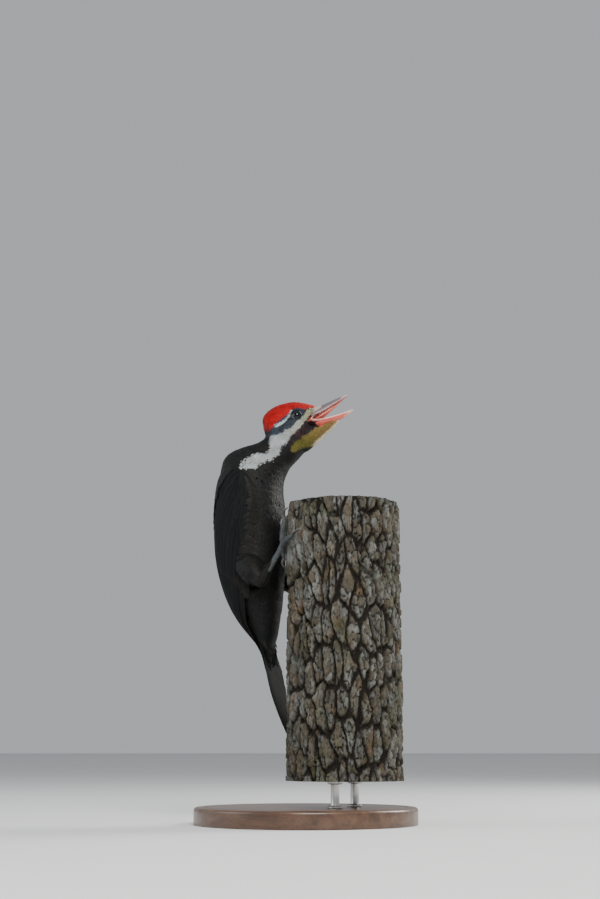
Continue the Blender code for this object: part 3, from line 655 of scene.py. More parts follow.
def horn_material(name, rough, coat):
    k = Nodes(name, rough)
    k.bsdf.inputs["Coat Weight"].default_value = coat
    k.bsdf.inputs["Coat Roughness"].default_value = 0.25
    n = k.noise(k.coords((1.0, 1.0, 0.6)), 420.0, 4.0, 0.6, 0.4)
    fine = k.noise(k.coords(), 1700.0, 2.0)
    shade = k.ramp(n, ((0.28, (0.80, 0.79, 0.78)), (0.72, (1.08, 1.07, 1.06))))
    k.colour(k.blend("MULTIPLY", 1.0, k.tint(), shade))
    k.roughness(fine, rough - 0.08, rough + 0.12)
    k.bump(k.maths("ADD", n, k.maths("MULTIPLY", fine, 0.5)), 0.22, 0.0002)
    return k.m


def eye_material():
    k = Nodes("bird_eye", 0.08)
    k.bsdf.inputs["Coat Weight"].default_value = 0.12
    k.bsdf.inputs["Coat Roughness"].default_value = 0.02
    k.bsdf.inputs["IOR"].default_value = 1.30
    n = k.noise(k.coords(), 1500.0, 2.0)
    shade = k.ramp(n, ((0.3, (0.72, 0.74, 0.78)), (0.7, (1.2, 1.2, 1.2))))
    k.colour(k.blend("MULTIPLY", 1.0, k.tint(), shade))
    k.roughness(n, 0.05, 0.13)
    return k.m


def bark_material():
    k = Nodes("bark", 0.9)
    k.bsdf.inputs["Specular IOR Level"].default_value = 0.2
    c = k.coords((1.0, 1.0, 0.28))
    coarse = k.noise(c, 120.0, 5.0, 0.62, 0.6)
    fine = k.noise(k.coords((1.0, 1.0, 0.5)), 700.0, 4.0, 0.7)
    spots = k.noise(k.coords(), 46.0, 4.0, 0.6)
    shade = k.ramp(coarse, ((0.28, (0.45, 0.42, 0.38)), (0.5, (0.9, 0.88, 0.84)), (0.72, (1.35, 1.33, 1.30))))
    base = k.blend("MULTIPLY", 1.0, k.tint(), shade)
    lichen = k.ramp(spots, ((0.60, (0, 0, 0)), (0.70, (1, 1, 1))))
    base = k.blend("MIX", k.maths("MULTIPLY", lichen, 0.35), base, (0.16, 0.18, 0.155))
    k.colour(k.blend("MULTIPLY", 1.0, base, k.ramp(fine, ((0.3, (0.7, 0.7, 0.7)), (0.7, (1.15, 1.15, 1.15))))))
    k.roughness(fine, 0.82, 0.97)
    chips = k.node("ShaderNodeTexVoronoi", Scale=330.0, feature="DISTANCE_TO_EDGE")
    k.link(k.coords((1.0, 1.0, 0.42)), chips.inputs["Vector"])
    split = k.maths("MINIMUM", k.maths("MULTIPLY", chips.outputs["Distance"], 5.0), 1.0)
    rough = k.maths("ADD", k.maths("MULTIPLY", coarse, 0.8), k.maths("MULTIPLY", fine, 0.7))
    k.bump(k.maths("ADD", rough, k.maths("MULTIPLY", split, 0.35)), 0.9, 0.0016)
    return k.m


def base_material():
    k = Nodes("base_wood", 0.38)
    k.bsdf.inputs["Coat Weight"].default_value = 0.35
    k.bsdf.inputs["Coat Roughness"].default_value = 0.18
    c = k.coords((1.0, 9.0, 9.0))
    warp = k.noise(c, 9.0, 3.0, 0.5, 1.0)
    grain = k.noise(k.coords((2.0, 60.0, 60.0)), 22.0, 4.0, 0.6, 0.3)
    tone = k.ramp(warp, ((0.25, (0.055, 0.026, 0.014)), (0.5, (0.105, 0.052, 0.027)), (0.75, (0.16, 0.085, 0.046))))
    k.colour(k.blend("MULTIPLY", 1.0, tone, k.ramp(grain, ((0.30, (0.62, 0.60, 0.58)), (0.62, (1.05, 1.05, 1.05))))))
    k.roughness(grain, 0.30, 0.48)
    k.bump(grain, 0.12, 0.0002)
    return k.m


def metal_material():
    k = Nodes("rod_metal", 0.3, 1.0)
    brushed = k.noise(k.coords((1.0, 1.0, 0.03)), 2600.0, 3.0)
    k.colour(k.ramp(brushed, ((0.3, (0.46, 0.455, 0.44)), (0.7, (0.62, 0.61, 0.59)))))
    k.roughness(brushed, 0.22, 0.40)
    k.bump(brushed, 0.1, 0.00005)
    return k.m


def floor_material():
    k = Nodes("studio_floor", 0.8)
    k.bsdf.inputs["Specular IOR Level"].default_value = 0.15
    n = k.noise(k.coords(), 3.0, 3.0)
    k.colour(k.ramp(n, ((0.3, (0.72, 0.725, 0.73)), (0.7, (0.75, 0.755, 0.76)))))
    return k.m


MAT = {
    "plumage": plumage_material("plumage", 0.55, 0.03),
    "head_plumage": plumage_material("head_plumage", 0.62, 0.10),
    "flight": plumage_material("flight_feathers", 0.56, 0.0, 0.55, 0.07),
    "skin": skin_material(),
    "bill": horn_material("bill_horn", 0.34, 0.3),
    "bill_low": horn_material("bill_pale", 0.38, 0.25),
    "tongue": horn_material("mouth_pink", 0.3, 0.5),
    "claw": horn_material("claw_horn", 0.36, 0.3),
    "eye": eye_material(),
    "bark": bark_material(),
    "base": base_material(),
    "metal": metal_material(),
}


def piece(obj, material, slot, *nodes):
    obj.data.materials.clear()
    obj.data.materials.append(MAT[material])
    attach(obj, "root")
    if nodes:
        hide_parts(*nodes)
    return obj


# =====================================================================================
# stand and log
# =====================================================================================
def turned(name, profile, around=160):
    """A closed solid of revolution about the upright axis at (x, y) = 0 from (radius, z) pairs."""
    a = np.linspace(0, 2 * np.pi, around, endpoint=False)
    prof = np.array(profile, float)
    grid = np.stack((prof[:, :1] * np.cos(a), prof[:, :1] * np.sin(a), np.repeat(prof[:, 1:], around, 1)), -1)
    return closed_tube(name, grid, sharp=32)


def make_stand():
    arc = [(BASE_R - 3 + 3 * math.sin(x), BASE_H - 3 + 3 * math.cos(x)) for x in np.linspace(math.pi / 2, 0, 8)]
    low = [(BASE_R - 1.2 + 1.2 * math.sin(x), 1.2 - 1.2 * math.cos(x)) for x in np.linspace(0, math.pi / 2, 5)]
    rim = [(BASE_R - 9, BASE_H), (BASE_R - 9.8, BASE_H - 0.7), (BASE_R - 11.2, BASE_H - 0.7), (BASE_R - 12, BASE_H), (40, BASE_H), (0.5, BASE_H)]
    base = turned("stand_base_wood", [(0.5, 0), (50, 0)] + low + arc + rim, 200)
    piece(base, "base", "base_wood", "stand_base")
    for i, side in enumerate((-1, 1), 1):
        z0, z1 = BASE_H + GAP / 2, BASE_H + ROD_H + GAP / 2
        rod = turned(f"stand_rod_{i}_steel", [(0.2, z0), (6.6, z0), (7.0, z0 + 0.4), (7.0, z0 + 1.8), (6.4, z0 + 2.4), (ROD_R + 0.2, z0 + 2.6), (ROD_R, z0 + 3.2),
                                              (ROD_R, z1 - 3.2), (ROD_R + 0.2, z1 - 2.6), (6.4, z1 - 2.4), (7.0, z1 - 1.8), (7.0, z1 - 0.4), (6.6, z1), (0.2, z1)], 64)
        rod.data.transform(Matrix.Translation(Vector((LOG_X, side * ROD_SPACING / 2, 0)) * MM))
        piece(rod, "metal", "rod_metal", f"stand_rod_{i}")


def toe_path(side, heading, length, radius, n=7):
    points = []
    for i in range(n):
        d = length * i / (n - 1)
        up, round_ = math.cos(math.radians(heading)) * d, math.sin(math.radians(heading)) * d
        off = radius + 0.5 + 1.1 * math.sin(math.pi * min(i / (n - 1) * 1.15, 1)) + (1.2 if i == 0 else 0)
        points.append(on_log(side * (FOOT_BEARING + math.degrees(round_ / LOG_R)), FOOT_Z + up, off))
    return np.array(points)


def make_log():
    around, up = 420, 190
    a = np.linspace(0, 2 * np.pi, around, endpoint=False)
    z = np.linspace(LOG_Z0, LOG_Z1, up)
    A, Z = np.meshgrid(a, z)
    X = np.stack((np.cos(A) * LOG_R, np.sin(A) * LOG_R, Z), -1)
    smooth_r = bark_radius(A, Z)
    girth = 2 * math.pi * LOG_R
    # the unrolled bark, meandering and leaning a little
    S = A * LOG_R + 13.0 * (cloud(X / (26, 26, 38) + 3.3) - 0.5) + 4.0 * (cloud(X / (6, 6, 9) + 8.1) - 0.5)
    H = Z + 11.0 * (cloud(X / (9, 9, 20) + 21.0) - 0.5)

    def cells(wide, tall, seed, lean=0.0):
        """Distances to the two nearest of scattered centres, in cells, and a value of its own for every cell."""
        r = np.random.default_rng(seed)
        cols, rows = int(round(girth / wide)), int(math.ceil((LOG_H + 4 * tall) / tall))
        i, j = np.meshgrid(np.arange(cols), np.arange(rows), indexing="ij")
        cs = ((i + 0.5 * (j % 2) + r.uniform(-0.36, 0.36, i.shape)) * girth / cols).ravel()
        cz = (LOG_Z0 - 2 * tall + (j + r.uniform(-0.42, 0.42, i.shape)) * tall).ravel()
        value = r.random(len(cs))
        tree = KDTree(len(cs) * 3)
        for turn in (-1, 0, 1):
            for n, (p, q) in enumerate(zip(cs.tolist(), cz.tolist())):
                tree.insert(((p + turn * girth + lean * (q - LOG_Z0)) / wide, q / tall, 0.0), n)
        tree.balance()
        gap, own = np.empty(S.size), np.empty(S.size)
        for n, (p, q) in enumerate(zip((((S + lean * (H - LOG_Z0)) % girth) / wide).ravel().tolist(), (H / tall).ravel().tolist())):
            (_, one, d1), (_, _, d2) = tree.find_n((p, q, 0.0), 2)
            gap[n], own[n] = d2 - d1, value[one]
        return gap.reshape(S.shape), own.reshape(S.shape)

    big, own = cells(11.0, 34.0, 71, 0.10)
    small, own_small = cells(5.0, 8.5, 72)
    furrow = 1 - smoothstep(0.07, 0.23, big + 0.16 * (cloud(X / (2.2, 2.2, 4) + 1.0) - 0.5))
    crack = (1 - smoothstep(0.03, 0.15, small)) * (1 - furrow)
    flake = cloud(X / (2.6, 2.6, 7.0) + 5.0) - 0.5
    fine = cloud(X / (1.3, 1.3, 2.6) + 9.0, 2) - 0.5
    d = 0.8 - 4.4 * furrow - 1.7 * crack + (1.4 * (own - 0.7) + 2.6 * (own_small - 0.75)) * (1 - furrow) + 2.2 * flake + 1.9 * fine
    r = smooth_r + np.clip(d, -5.2, 0.8)
    # the bark stands up to the feet that grip it
    for side in (-1, 1):
        for toe, (heading, length, radius) in TOES.items():
            path = smooth_path(toe_path(side, heading, length + 8, radius), 12)
            for q in path:
                b = math.atan2(q[1], q[0] - LOG_X)
                gap = np.hypot(np.angle(np.exp(1j * (A - b))) * LOG_R, Z - q[2])
                near = np.exp(-(gap / 4.5) ** 2)
                want = LOG_R + BARK_DEPTH * 0.25 + 1.45 + 0.8 * fine - 0.5 * crack
                r = r + near * np.maximum(want - r, 0) * 0.85
    r = np.minimum(r, LOG_R + 2.25)
    grid = np.stack((LOG_X + r * np.cos(A), r * np.sin(A), Z), -1)
    # sawn ends: bark rim, cambium, rings and a few drying cracks
    ends = []
    for z_end, sign in ((LOG_Z0, 1), (LOG_Z1, -1)):
        rr = r[0] if sign > 0 else r[-1]
        rows = []
        for k, f in enumerate(np.concatenate(([0.995, 0.975, 0.94, 0.915, 0.90, 0.885], np.linspace(0.85, 0.02, 16)))):
            rad = rr * f if f > 0.9 else (rr * f) * (1 - 0.5 * smoothstep(0.9, 0.3, f)) + LOG_R * f * 0.97 * 0.5 * smoothstep(0.9, 0.3, f)
            deep = 0.25 + 0.5 * (0.905 < f < 0.98) + 0.9 * (abs(f - 0.9) < 0.012) + 0.18 * (noise3(np.stack((rad * np.cos(a), rad * np.sin(a), np.full(around, z_end)), -1) / 2.0) - 0.5)
            for at, wide, length in ((0.7, 0.030, 0.75), (2.9, 0.022, 0.6), (4.3, 0.040, 0.85), (5.5, 0.016, 0.5)):
                crack = np.exp(-(np.angle(np.exp(1j * (a - at - 0.05 * np.sin(9 * f)))) / (wide * (0.3 + f))) ** 2) * smoothstep(1 - length, 1 - length + 0.3, f) * (f < 0.9)
                deep = deep + 2.4 * crack
            if k == 0:
                deep = deep * 0 + 0.05
            rows.append(np.stack((LOG_X + rad * np.cos(a), rad * np.sin(a), z_end + sign * deep), -1))
        ends.append(np.array(rows))
    grid = np.concatenate((ends[0][::-1], grid, ends[1]))
    n_end = len(ends[0])
    depth = np.clip((smooth_r + 0.3 - r) / 4.5, 0, 1)
    old = cloud(X / (22, 22, 40) + 2.0)
    tone = mix((0.175, 0.182, 0.176), (0.090, 0.078, 0.056), smoothstep(0.25, 0.75, 0.5 * old + 0.5 * own_small))
    tone = mix(tone, (0.135, 0.085, 0.048), smoothstep(0.55, 0.8, cloud(X / (8, 8, 18) + 17.0)) * 0.6)
    tone = mix(tone, (0.075, 0.085, 0.045), smoothstep(0.56, 0.75, cloud(X / (18, 18, 26) + 31.0)) * 0.5)
    # painted shade: dark in the fine cracks, and deepening to near black with the depth of the furrows
    tone = mix(tone, (0.040, 0.030, 0.020), crack * 0.8)
    tone = mix(tone, (0.015, 0.012, 0.009), smoothstep(0.15, 0.75, depth))
    tone = tone * (0.6 + 0.75 * cloud(X / (1.8, 1.8, 4.0) + 4.0))[..., None]
    colours = [None, tone, None]
    for which, rows in ((0, ends[0][::-1]), (2, ends[1])):
        rad = np.hypot(rows[..., 0] - LOG_X, rows[..., 1])
        rings = 0.5 + 0.5 * np.sin(rad * 2 * np.pi / 3.4 + 3 * cloud(rows / 20.0))
        wood = mix((0.42, 0.29, 0.17), (0.27, 0.165, 0.085), rings)
        wood = mix(wood, (0.20, 0.115, 0.06), smoothstep(34, 18, rad) * 0.7)
        wood = mix(wood, (0.035, 0.026, 0.018), smoothstep(LOG_R * 0.885, LOG_R * 0.93, rad))
        deep = np.abs(rows[..., 2] - (LOG_Z0 if which == 0 else LOG_Z1))
        # painted shade in the drying cracks and the cambium groove of the sawn ends, by their depth
        colours[which] = mix(wood, (0.05, 0.03, 0.02), smoothstep(0.9, 2.0, deep))
    log = closed_tube("log_bark", grid, np.concatenate(colours), flip=False, sharp=70)
    piece(log, "bark", "bark", "perch_log")
    told("log")
    return r


# =====================================================================================
# legs: scaled feet, shanks and claws
# =====================================================================================
def scaled_tube(name, path, radii, away, scutes=1.7, around=18, per_mm=2.2):
    """A toe or shank: plates across its upper side, small pads beneath."""
    length = np.linalg.norm(np.diff(path, axis=0), axis=1).sum()
    n = max(12, int(length * per_mm))
    path = smooth_path(path, n)
    radii = rows_at(np.array(radii, float)[:, None], np.linspace(0, len(radii) - 1, n))[:, 0]
    s = np.concatenate(([0], np.cumsum(np.linalg.norm(np.diff(path, axis=0), axis=1))))
    ahead, side, up = frames_along(path, away)
    x = np.linspace(0, 2 * np.pi, around, endpoint=False)
    step = (s / scutes) % 1.0
    plate = (0.5 - step)[:, None] * 0.16 * smoothstep(0.0, 0.6, np.cos(x))[None]
    pads = 0.10 * np.sin(s * 2 * np.pi / 2.3)[:, None] * np.sin(3 * x)[None] ** 2 * smoothstep(0.1, 0.7, -np.cos(x))[None]
    r = radii[:, None] * (1 + plate + pads)
    grid = path[:, None] + r[..., None] * (side[:, None] * np.sin(x)[None, :, None] + up[:, None] * np.cos(x)[None, :, None])
    return closed_tube(name, grid)


def make_feet():
    """The bare feet and shanks, for the skin, and the claws as pieces of their own."""
    tubes, claws = [], []
    for word, side in (("left", 1), ("right", -1)):
        foot = on_log(side * FOOT_BEARING, FOOT_Z, 4.0)
        heel = np.array((BODY_X + HEEL[0], side * HEEL[1], HEEL[2]))
        away0 = unit(np.array((foot[0] - LOG_X, foot[1], 0.0)))
        for toe, (heading, length, radius) in TOES.items():
            path = toe_path(side, heading, length, radius)
            radii = [radius * k for k in (1.06, 0.92, 1.05, 0.9, 1.0, 0.88, 0.62)]
            away = unit(np.stack((path[:, 0] - LOG_X, path[:, 1], 0 * path[:, 0]), -1)).mean(0)
            tubes.append(scaled_tube(f"toe_{toe}_{word}", path, radii, away))
            a, b = path[-2], path[-1]
            ahead = unit(b - a)
            out = unit(np.array((b[0] - LOG_X, b[1], 0.0)))
            ahead = unit(ahead - out * (ahead @ out))
            length_c = CLAW_LEN * (0.8 if toe == 1 else 1.0)
            arc = []
            for i in range(7):
                bend = math.radians(48 - 128 * i / 6)
                if not arc:
                    arc.append(b + ahead * (radii[-1] * 0.2 + 0.9) + out * 0.1)
                else:
                    arc.append(arc[-1] + (ahead * math.cos(bend) + out * math.sin(bend)) * length_c / 6)
            sizes = [radius * 0.66 * (1 - 0.86 * (i / 6) ** 1.3) for i in range(7)]
            fixed = []
            for q, r in zip(arc, sizes):
                rad = math.hypot(q[0] - LOG_X, q[1])
                k = max(rad, LOG_R + BARK_DEPTH * 0.25 + 1.0 + r) / rad
                fixed.append((LOG_X + (q[0] - LOG_X) * k, q[1] * k, q[2]))
            fixed = np.array([np.array(fixed[0]) - ahead * 1.6 - out * 0.2] + fixed)
            n = 26
            line = smooth_path(fixed, n)
            size = rows_at(np.array([sizes[0] * 0.8] + sizes)[:, None], np.linspace(0, 7, n))[:, 0]
            _, sd, up = frames_along(line, out)
            x = np.linspace(0, 2 * np.pi, 16, endpoint=False)
            deep = 1.08 + 0.1 * np.cos(x)
            grid = line[:, None] + size[:, None, None] * (sd[:, None] * (np.sin(x) * 0.72)[None, :, None] + up[:, None] * (np.cos(x) * deep)[None, :, None])
            f = np.linspace(0, 1, n)[:, None] + 0 * x[None]
            tone = mix(mix((0.070, 0.066, 0.062), (0.030, 0.029, 0.030), smoothstep(0.05, 0.45, f)), (0.115, 0.098, 0.082), smoothstep(0.72, 1.0, f))
            claw = closed_tube(f"claw_{word}_{toe}_horn", grid, tone)
            claws.append(piece(claw, "claw", "claw_horn", f"claw_{word}_{toe}"))
        ankle = foot + unit(heel - foot) * 7.0
        tubes.append(scaled_tube("sole_" + word, np.array([foot + (foot - ankle) * 0.22, foot, (foot + ankle) / 2, ankle]), [1.8, 3.4, 3.1, 2.7], away0))
        back = unit(heel - foot)
        shank = np.array([foot + back * 4, foot + back * 8, foot * 0.6 + heel * 0.4, foot * 0.3 + heel * 0.7, heel, heel + back * 3])
        up0 = unit(np.cross(back, (0.0, 1.0, 0.0)) * -1)
        tubes.append(scaled_tube("shank_" + word, shank, [2.6, 2.7, 2.75, 3.1, 4.0, 3.0], up0, 2.1))
    return tubes


def thigh_path(side):
    """The feathered part of the leg, from the knee against the body down to the shank."""
    foot = on_log(side * FOOT_BEARING, FOOT_Z, 4.0)
    heel = np.array((BODY_X + HEEL[0], side * HEEL[1], HEEL[2]))
    knee = np.array((BODY_X + KNEE[0], side * KNEE[1], KNEE[2]))
    mid = heel * 0.42 + knee * 0.58 + np.array((0.5, side * 2.5, -1.5))
    top = foot * 0.35 + heel * 0.65
    return np.array([knee + (knee - mid) * 0.5, knee, mid * 0.55 + knee * 0.45, heel * 0.22 + mid * 0.78, heel * 0.62 + mid * 0.38,
                     heel * 1.0 - (0, 0, 0.0), top]), np.array([8.0, 14.6, 13.8, 11.2, 8.0, 5.2, 3.4])


def thigh_grid(side, out, n=60, around=60):
    path, radii = thigh_path(side)
    radii = np.maximum(radii + out, 1.2)
    path = smooth_path(path, n)
    r = rows_at(radii[:, None], np.linspace(0, len(radii) - 1, n))[:, 0]
    ahead, sd, up = frames_along(path, np.array((0.35, 0.0, 1.0)))
    x = np.linspace(0, 2 * np.pi, around, endpoint=False)
    return path[:, None] + r[:, None, None] * (sd[:, None] * np.sin(x)[None, :, None] + up[:, None] * np.cos(x)[None, :, None])


def thigh_at(grid):
    """The thigh's surface as a function of its length (0 at the knee to 6) and the angle round it."""
    n, m = grid.shape[:2]

    def fn(t, x):
        a = np.clip(np.asarray(t) / 6.0, 0, 1) * (n - 1)
        b = (np.asarray(x) % (2 * np.pi)) / (2 * np.pi) * m
        i, j = np.minimum(a.astype(int), n - 2), b.astype(int) % m
        fa, fb = (a - i)[..., None], (b - np.floor(b))[..., None]
        k = (j + 1) % m
        return ((grid[i, j] * (1 - fb) + grid[i, k] * fb) * (1 - fa) + (grid[i + 1, j] * (1 - fb) + grid[i + 1, k] * fb) * fa)
    return fn


# =====================================================================================
# bill, tongue and eyes
# =====================================================================================
UPPER_HALF = np.array(((0, 1.0), (0.20, 0.975), (0.38, 0.88), (0.55, 0.74), (0.72, 0.57), (0.86, 0.40), (0.96, 0.24), (1.0, 0.10), (0.985, 0.02),
                       (0.93, 0.0), (0.86, 0.07), (0.74, 0.20), (0.58, 0.30), (0.38, 0.37), (0.18, 0.40), (0, 0.41)))
LOWER_HALF = np.array(((0, 0.0), (0.20, 0.015), (0.40, 0.07), (0.60, 0.19), (0.78, 0.38), (0.91, 0.58), (0.98, 0.78), (1.0, 0.92), (0.97, 1.0),
                       (0.90, 0.985), (0.80, 0.90), (0.66, 0.75), (0.48, 0.64), (0.3, 0.58), (0.14, 0.55), (0, 0.545)))


def horn(name, rows, half, upper, colour_of):
    n = 64
    t = np.linspace(0, len(rows) - 1, n)
    row = rows_at(rows, t)
    u, top, bottom, w = (row[:, k][:, None] for k in range(4))
    fine = rows_at(half, np.linspace(0, len(half) - 1, 31))
    around = np.concatenate((fine, fine[-2:0:-1] * (-1, 1)))
    x, y = around[:, 0][None], around[:, 1][None]
    hollow = smoothstep(0.0, 0.25, (u.max() - u) / 12.0)
    if upper:   # the hollow of the palate dies out towards the tip
        inside = np.concatenate((np.arange(31) >= 19, (np.arange(31) >= 19)[-2:0:-1]))[None]
        y = np.where(inside, y * (0.25 + 0.75 * hollow), y)
    else:
        inside = np.concatenate((np.arange(31) >= 18, (np.arange(31) >= 18)[-2:0:-1]))[None]
        y = np.where(inside, 1 - (1 - y) * (0.3 + 0.7 * hollow), y)
    # a shallow groove runs forward from the nostril
    groove = 0.05 * np.exp(-((np.abs(x) - 0.72) / 0.06) ** 2) * smoothstep(44, 26, u) * (~inside) if upper else 0 * x
    grid = head_point(u + 0 * x, w * x * (1 - groove), bottom + (top - bottom) * y)
    return closed_tube(name, grid, colour_of(u + 0 * x, np.abs(x) + 0 * u, y + 0 * u, inside | (u < -99)), flip=False)


def upper_colour(u, x, y, inside):
    wave = noise3(np.stack((u / 5.0, x * 3, y * 3), -1))
    c = mix((0.170, 0.118, 0.142), (0.088, 0.078, 0.102), smoothstep(0.35, 0.8, y) * 0.9)
    # a patchy lighter band along the lateral ridge, where the side is widest, is a painted highlight
    c = mix(c, (0.27, 0.20, 0.20), smoothstep(0.32, 0.12, y) * (0.4 + 0.4 * wave))
    c = mix(c, (0.50, 0.31, 0.27), smoothstep(0.07, 0.0, y) * 0.8)
    c = mix(c, (0.62, 0.47, 0.38), smoothstep(44, 53, u))
    # inside, the pink darkens towards the back of the mouth, painted shade in its depth
    pink = mix((0.62, 0.125, 0.10), (0.27, 0.045, 0.035), smoothstep(22, 8, u))
    pink = mix(pink, (0.66, 0.26, 0.21), smoothstep(0.75, 0.9, x))
    return np.where(inside[..., None], pink, c)


def lower_colour(u, x, y, inside):
    wave = noise3(np.stack((u / 4.0, x * 3, y * 3 + 4), -1))
    c = mix((0.60, 0.100, 0.075), (0.66, 0.175, 0.135), smoothstep(0.45, 0.05, y))
    c = mix(c, (0.50, 0.075, 0.050), smoothstep(0.5, 0.8, wave) * 0.5)
    c = mix(c, (0.78, 0.47, 0.41), smoothstep(0.74, 0.94, y))
    c = mix(c, (0.72, 0.50, 0.40), smoothstep(38, 49, u) * 0.85)
    # inside, the pink darkens towards the back of the mouth, painted shade in its depth
    pink = mix((0.58, 0.11, 0.085), (0.30, 0.05, 0.04), smoothstep(20, 8, u))
    return np.where(inside[..., None], pink, c)


def make_bill():
    piece(horn("bill_upper_horn", UPPER_BILL, UPPER_HALF, True, upper_colour), "bill", "bill_horn", "bill_upper")
    piece(horn("bill_lower_horn", LOWER_BILL, LOWER_HALF, False, lower_colour), "bill_low", "bill_pale", "bill_lower")
    n, x = 40, np.linspace(0, 2 * np.pi, 24, endpoint=False)
    row = rows_at(TONGUE, np.linspace(0, len(TONGUE) - 1, n))
    u, v, w, h = (row[:, k][:, None] for k in range(4))
    groove = 0.28 * np.exp(-(np.cos(x) / 0.25) ** 2) * (np.sin(x) > 0)
    rough = 0.06 * (noise3(np.stack((u / 0.9 + 0 * x, np.cos(x) * 3 + 0 * u, np.sin(x) * 3 + 0 * u), -1)) - 0.5)
    grid = head_point(u + 0 * x, w * np.cos(x) * (1 + rough), v + h * (np.sin(x) - groove) * (1 + rough))
    tone = mix((0.46, 0.070, 0.050), (0.58, 0.130, 0.095), smoothstep(10, 34, u + 0 * x))
    piece(closed_tube("tongue_flesh", grid, tone), "tongue", "mouth_pink", "tongue")


def eye_frame(side):
    centre = head_point(EYE_U, side * EYE_OUT, EYE_V)
    axis = unit(head_point(EYE_U + 0.13, side * (EYE_OUT + 1), EYE_V + 0.04) - centre)
    e1 = unit(head_point(EYE_U + 1, side * EYE_OUT, EYE_V) - centre)
    e1 = unit(e1 - axis * (e1 @ axis))
    return centre, axis, e1, np.cross(axis, e1)


def on_eye(side, polar, around, radius):
    """Points about the eye: degrees from its axis, degrees round from the bill's direction, and radius."""
    centre, axis, e1, e2 = eye_frame(side)
    a, b = np.radians(polar), np.radians(around)
    a, b, radius = np.broadcast_arrays(a, b, radius)
    return centre + radius[..., None] * (np.cos(a)[..., None] * axis + np.sin(a)[..., None] * (np.cos(b)[..., None] * e1 + np.sin(b)[..., None] * e2))


def make_eyes():
    for word, side in (("left", 1), ("right", -1)):
        polar = np.concatenate((np.linspace(1.5, 60, 44), np.linspace(66, 176, 18)))[:, None]
        around = np.linspace(0, 360, 72, endpoint=False)[None]
        r = 5.92 + 0.34 * (1 - smoothstep(8, 42, polar)) + 0 * around
        grid = on_eye(side, polar + 0 * around, around + 0 * polar, r)
        streak = noise3(np.stack((np.cos(np.radians(around)) * 9 + 0 * polar, np.sin(np.radians(around)) * 9 + 0 * polar, polar / 14 + 0 * around), -1))
        iris = mix((0.0055, 0.0080, 0.014), (0.016, 0.021, 0.033), smoothstep(0.35, 0.8, streak))
        iris = mix(iris, (0.004, 0.005, 0.008), smoothstep(38, 46, polar + 0 * around))
        c = mix((0.0015, 0.0015, 0.002), iris, smoothstep(24, 27, polar + 0 * around))
        c = mix(c, (0.012, 0.012, 0.014), smoothstep(46, 50, polar + 0 * around))
        piece(closed_tube(f"eye_{word}_ball", grid, c, flip=side < 0), "eye", "eye_dark", f"eye_{word}")


def lid_rings():
    """Lids as closed rings over the eyeball, thicker in front and behind."""
    made = []
    around = np.linspace(0, 360, 96, endpoint=False)
    for side in (1, -1):
        rim = 43.0 + 2.6 * np.cos(np.radians(2 * around)) - 1.0 * np.sin(np.radians(around))
        section = ((-0.5, 6.00), (-1.0, 6.22), (0.6, 6.46), (3.2, 6.52), (5.2, 6.38), (7.6, 6.58), (10.5, 6.62), (12.5, 6.42), (15.5, 6.50), (20.0, 6.40),
                   (25.0, 6.0), (25.0, 5.2), (12.0, 5.3), (2.0, 5.6))
        grid = np.stack([on_eye(side, rim + d, around, r) for d, r in section], 1)       # (96, 14, 3)
        n, m = grid.shape[:2]
        i, j = np.meshgrid(np.arange(n), np.arange(m), indexing="ij")
        quads = np.stack((i * m + j, i * m + (j + 1) % m, ((i + 1) % n) * m + (j + 1) % m, ((i + 1) % n) * m + j), -1).reshape(-1, 4)
        made.append(new_mesh("lids", grid.reshape(-1, 3), quads if side > 0 else quads[:, ::-1]))
    return made


GAPE_LINE = ((14.5, 6.9, -12.3), (11.6, 7.5, -12.9), (9.9, 8.0, -13.9), (9.5, 8.2, -15.2), (10.6, 8.1, -16.4), (13.2, 7.5, -17.9), (17.5, 6.8, -19.3), (21.5, 6.0, -20.8),
             (25.0, 5.2, -22.0))
GAPE_CORNER = (4.6, 8.7, -14.4)
GAPE_FLOOR = ((4.4, 8.0, 10.6, 13.2, 16.5), (8.4, 8.3, 7.9, 7.3, 6.7), (-14.3, -15.6, -16.8, -18.1, -19.2))


def web_grid(side, inward=0.0, rows=6):
    """The web of skin across the corner of the open mouth, from its free edge back to the corner."""
    line = smooth_path([(u, w, v) for u, w, v in GAPE_LINE[:7]], 34)
    k = np.linspace(0.0, 0.97, rows)[None, :, None]
    g = line[:, None] * (1 - k) + np.array(GAPE_CORNER) * k
    g[..., 1] += 0.5 * np.sin(np.pi * k[..., 0]) - inward
    return head_point(g[..., 0], side * g[..., 1], g[..., 2])


def floor_grid(side, rows=10):
    """The thin floor of the mouth's corner, from the web's lower arm in to the lower bill's edge, as rings of a closed slab."""
    u = np.linspace(4.4, 16.5, 26)
    outer = np.stack((u, np.interp(u, GAPE_FLOOR[0], GAPE_FLOOR[1]), np.interp(u, GAPE_FLOOR[0], GAPE_FLOOR[2])), -1)
    inner = np.stack((u, np.interp(u, (4.4, 8, 10.6, 13.2, 16.5), (3.4, 4.2, 4.6, 5.4, 5.8)), np.interp(u, (4.4, 8, 10.6, 13.2, 16.5), (-16.0, -17.3, -18.0, -18.7, -19.6))), -1)
    f = np.linspace(0, 1, rows)[None, :, None]
    top = outer[:, None] * (1 - f) + inner[:, None] * f - np.array((0, 0, 1.0)) * (0.35 * np.sin(np.pi * f))
    g = np.concatenate((top, top[:, ::-1] - (0, 0, 1.0)), 1)
    return head_point(g[..., 0], side * g[..., 1], g[..., 2])


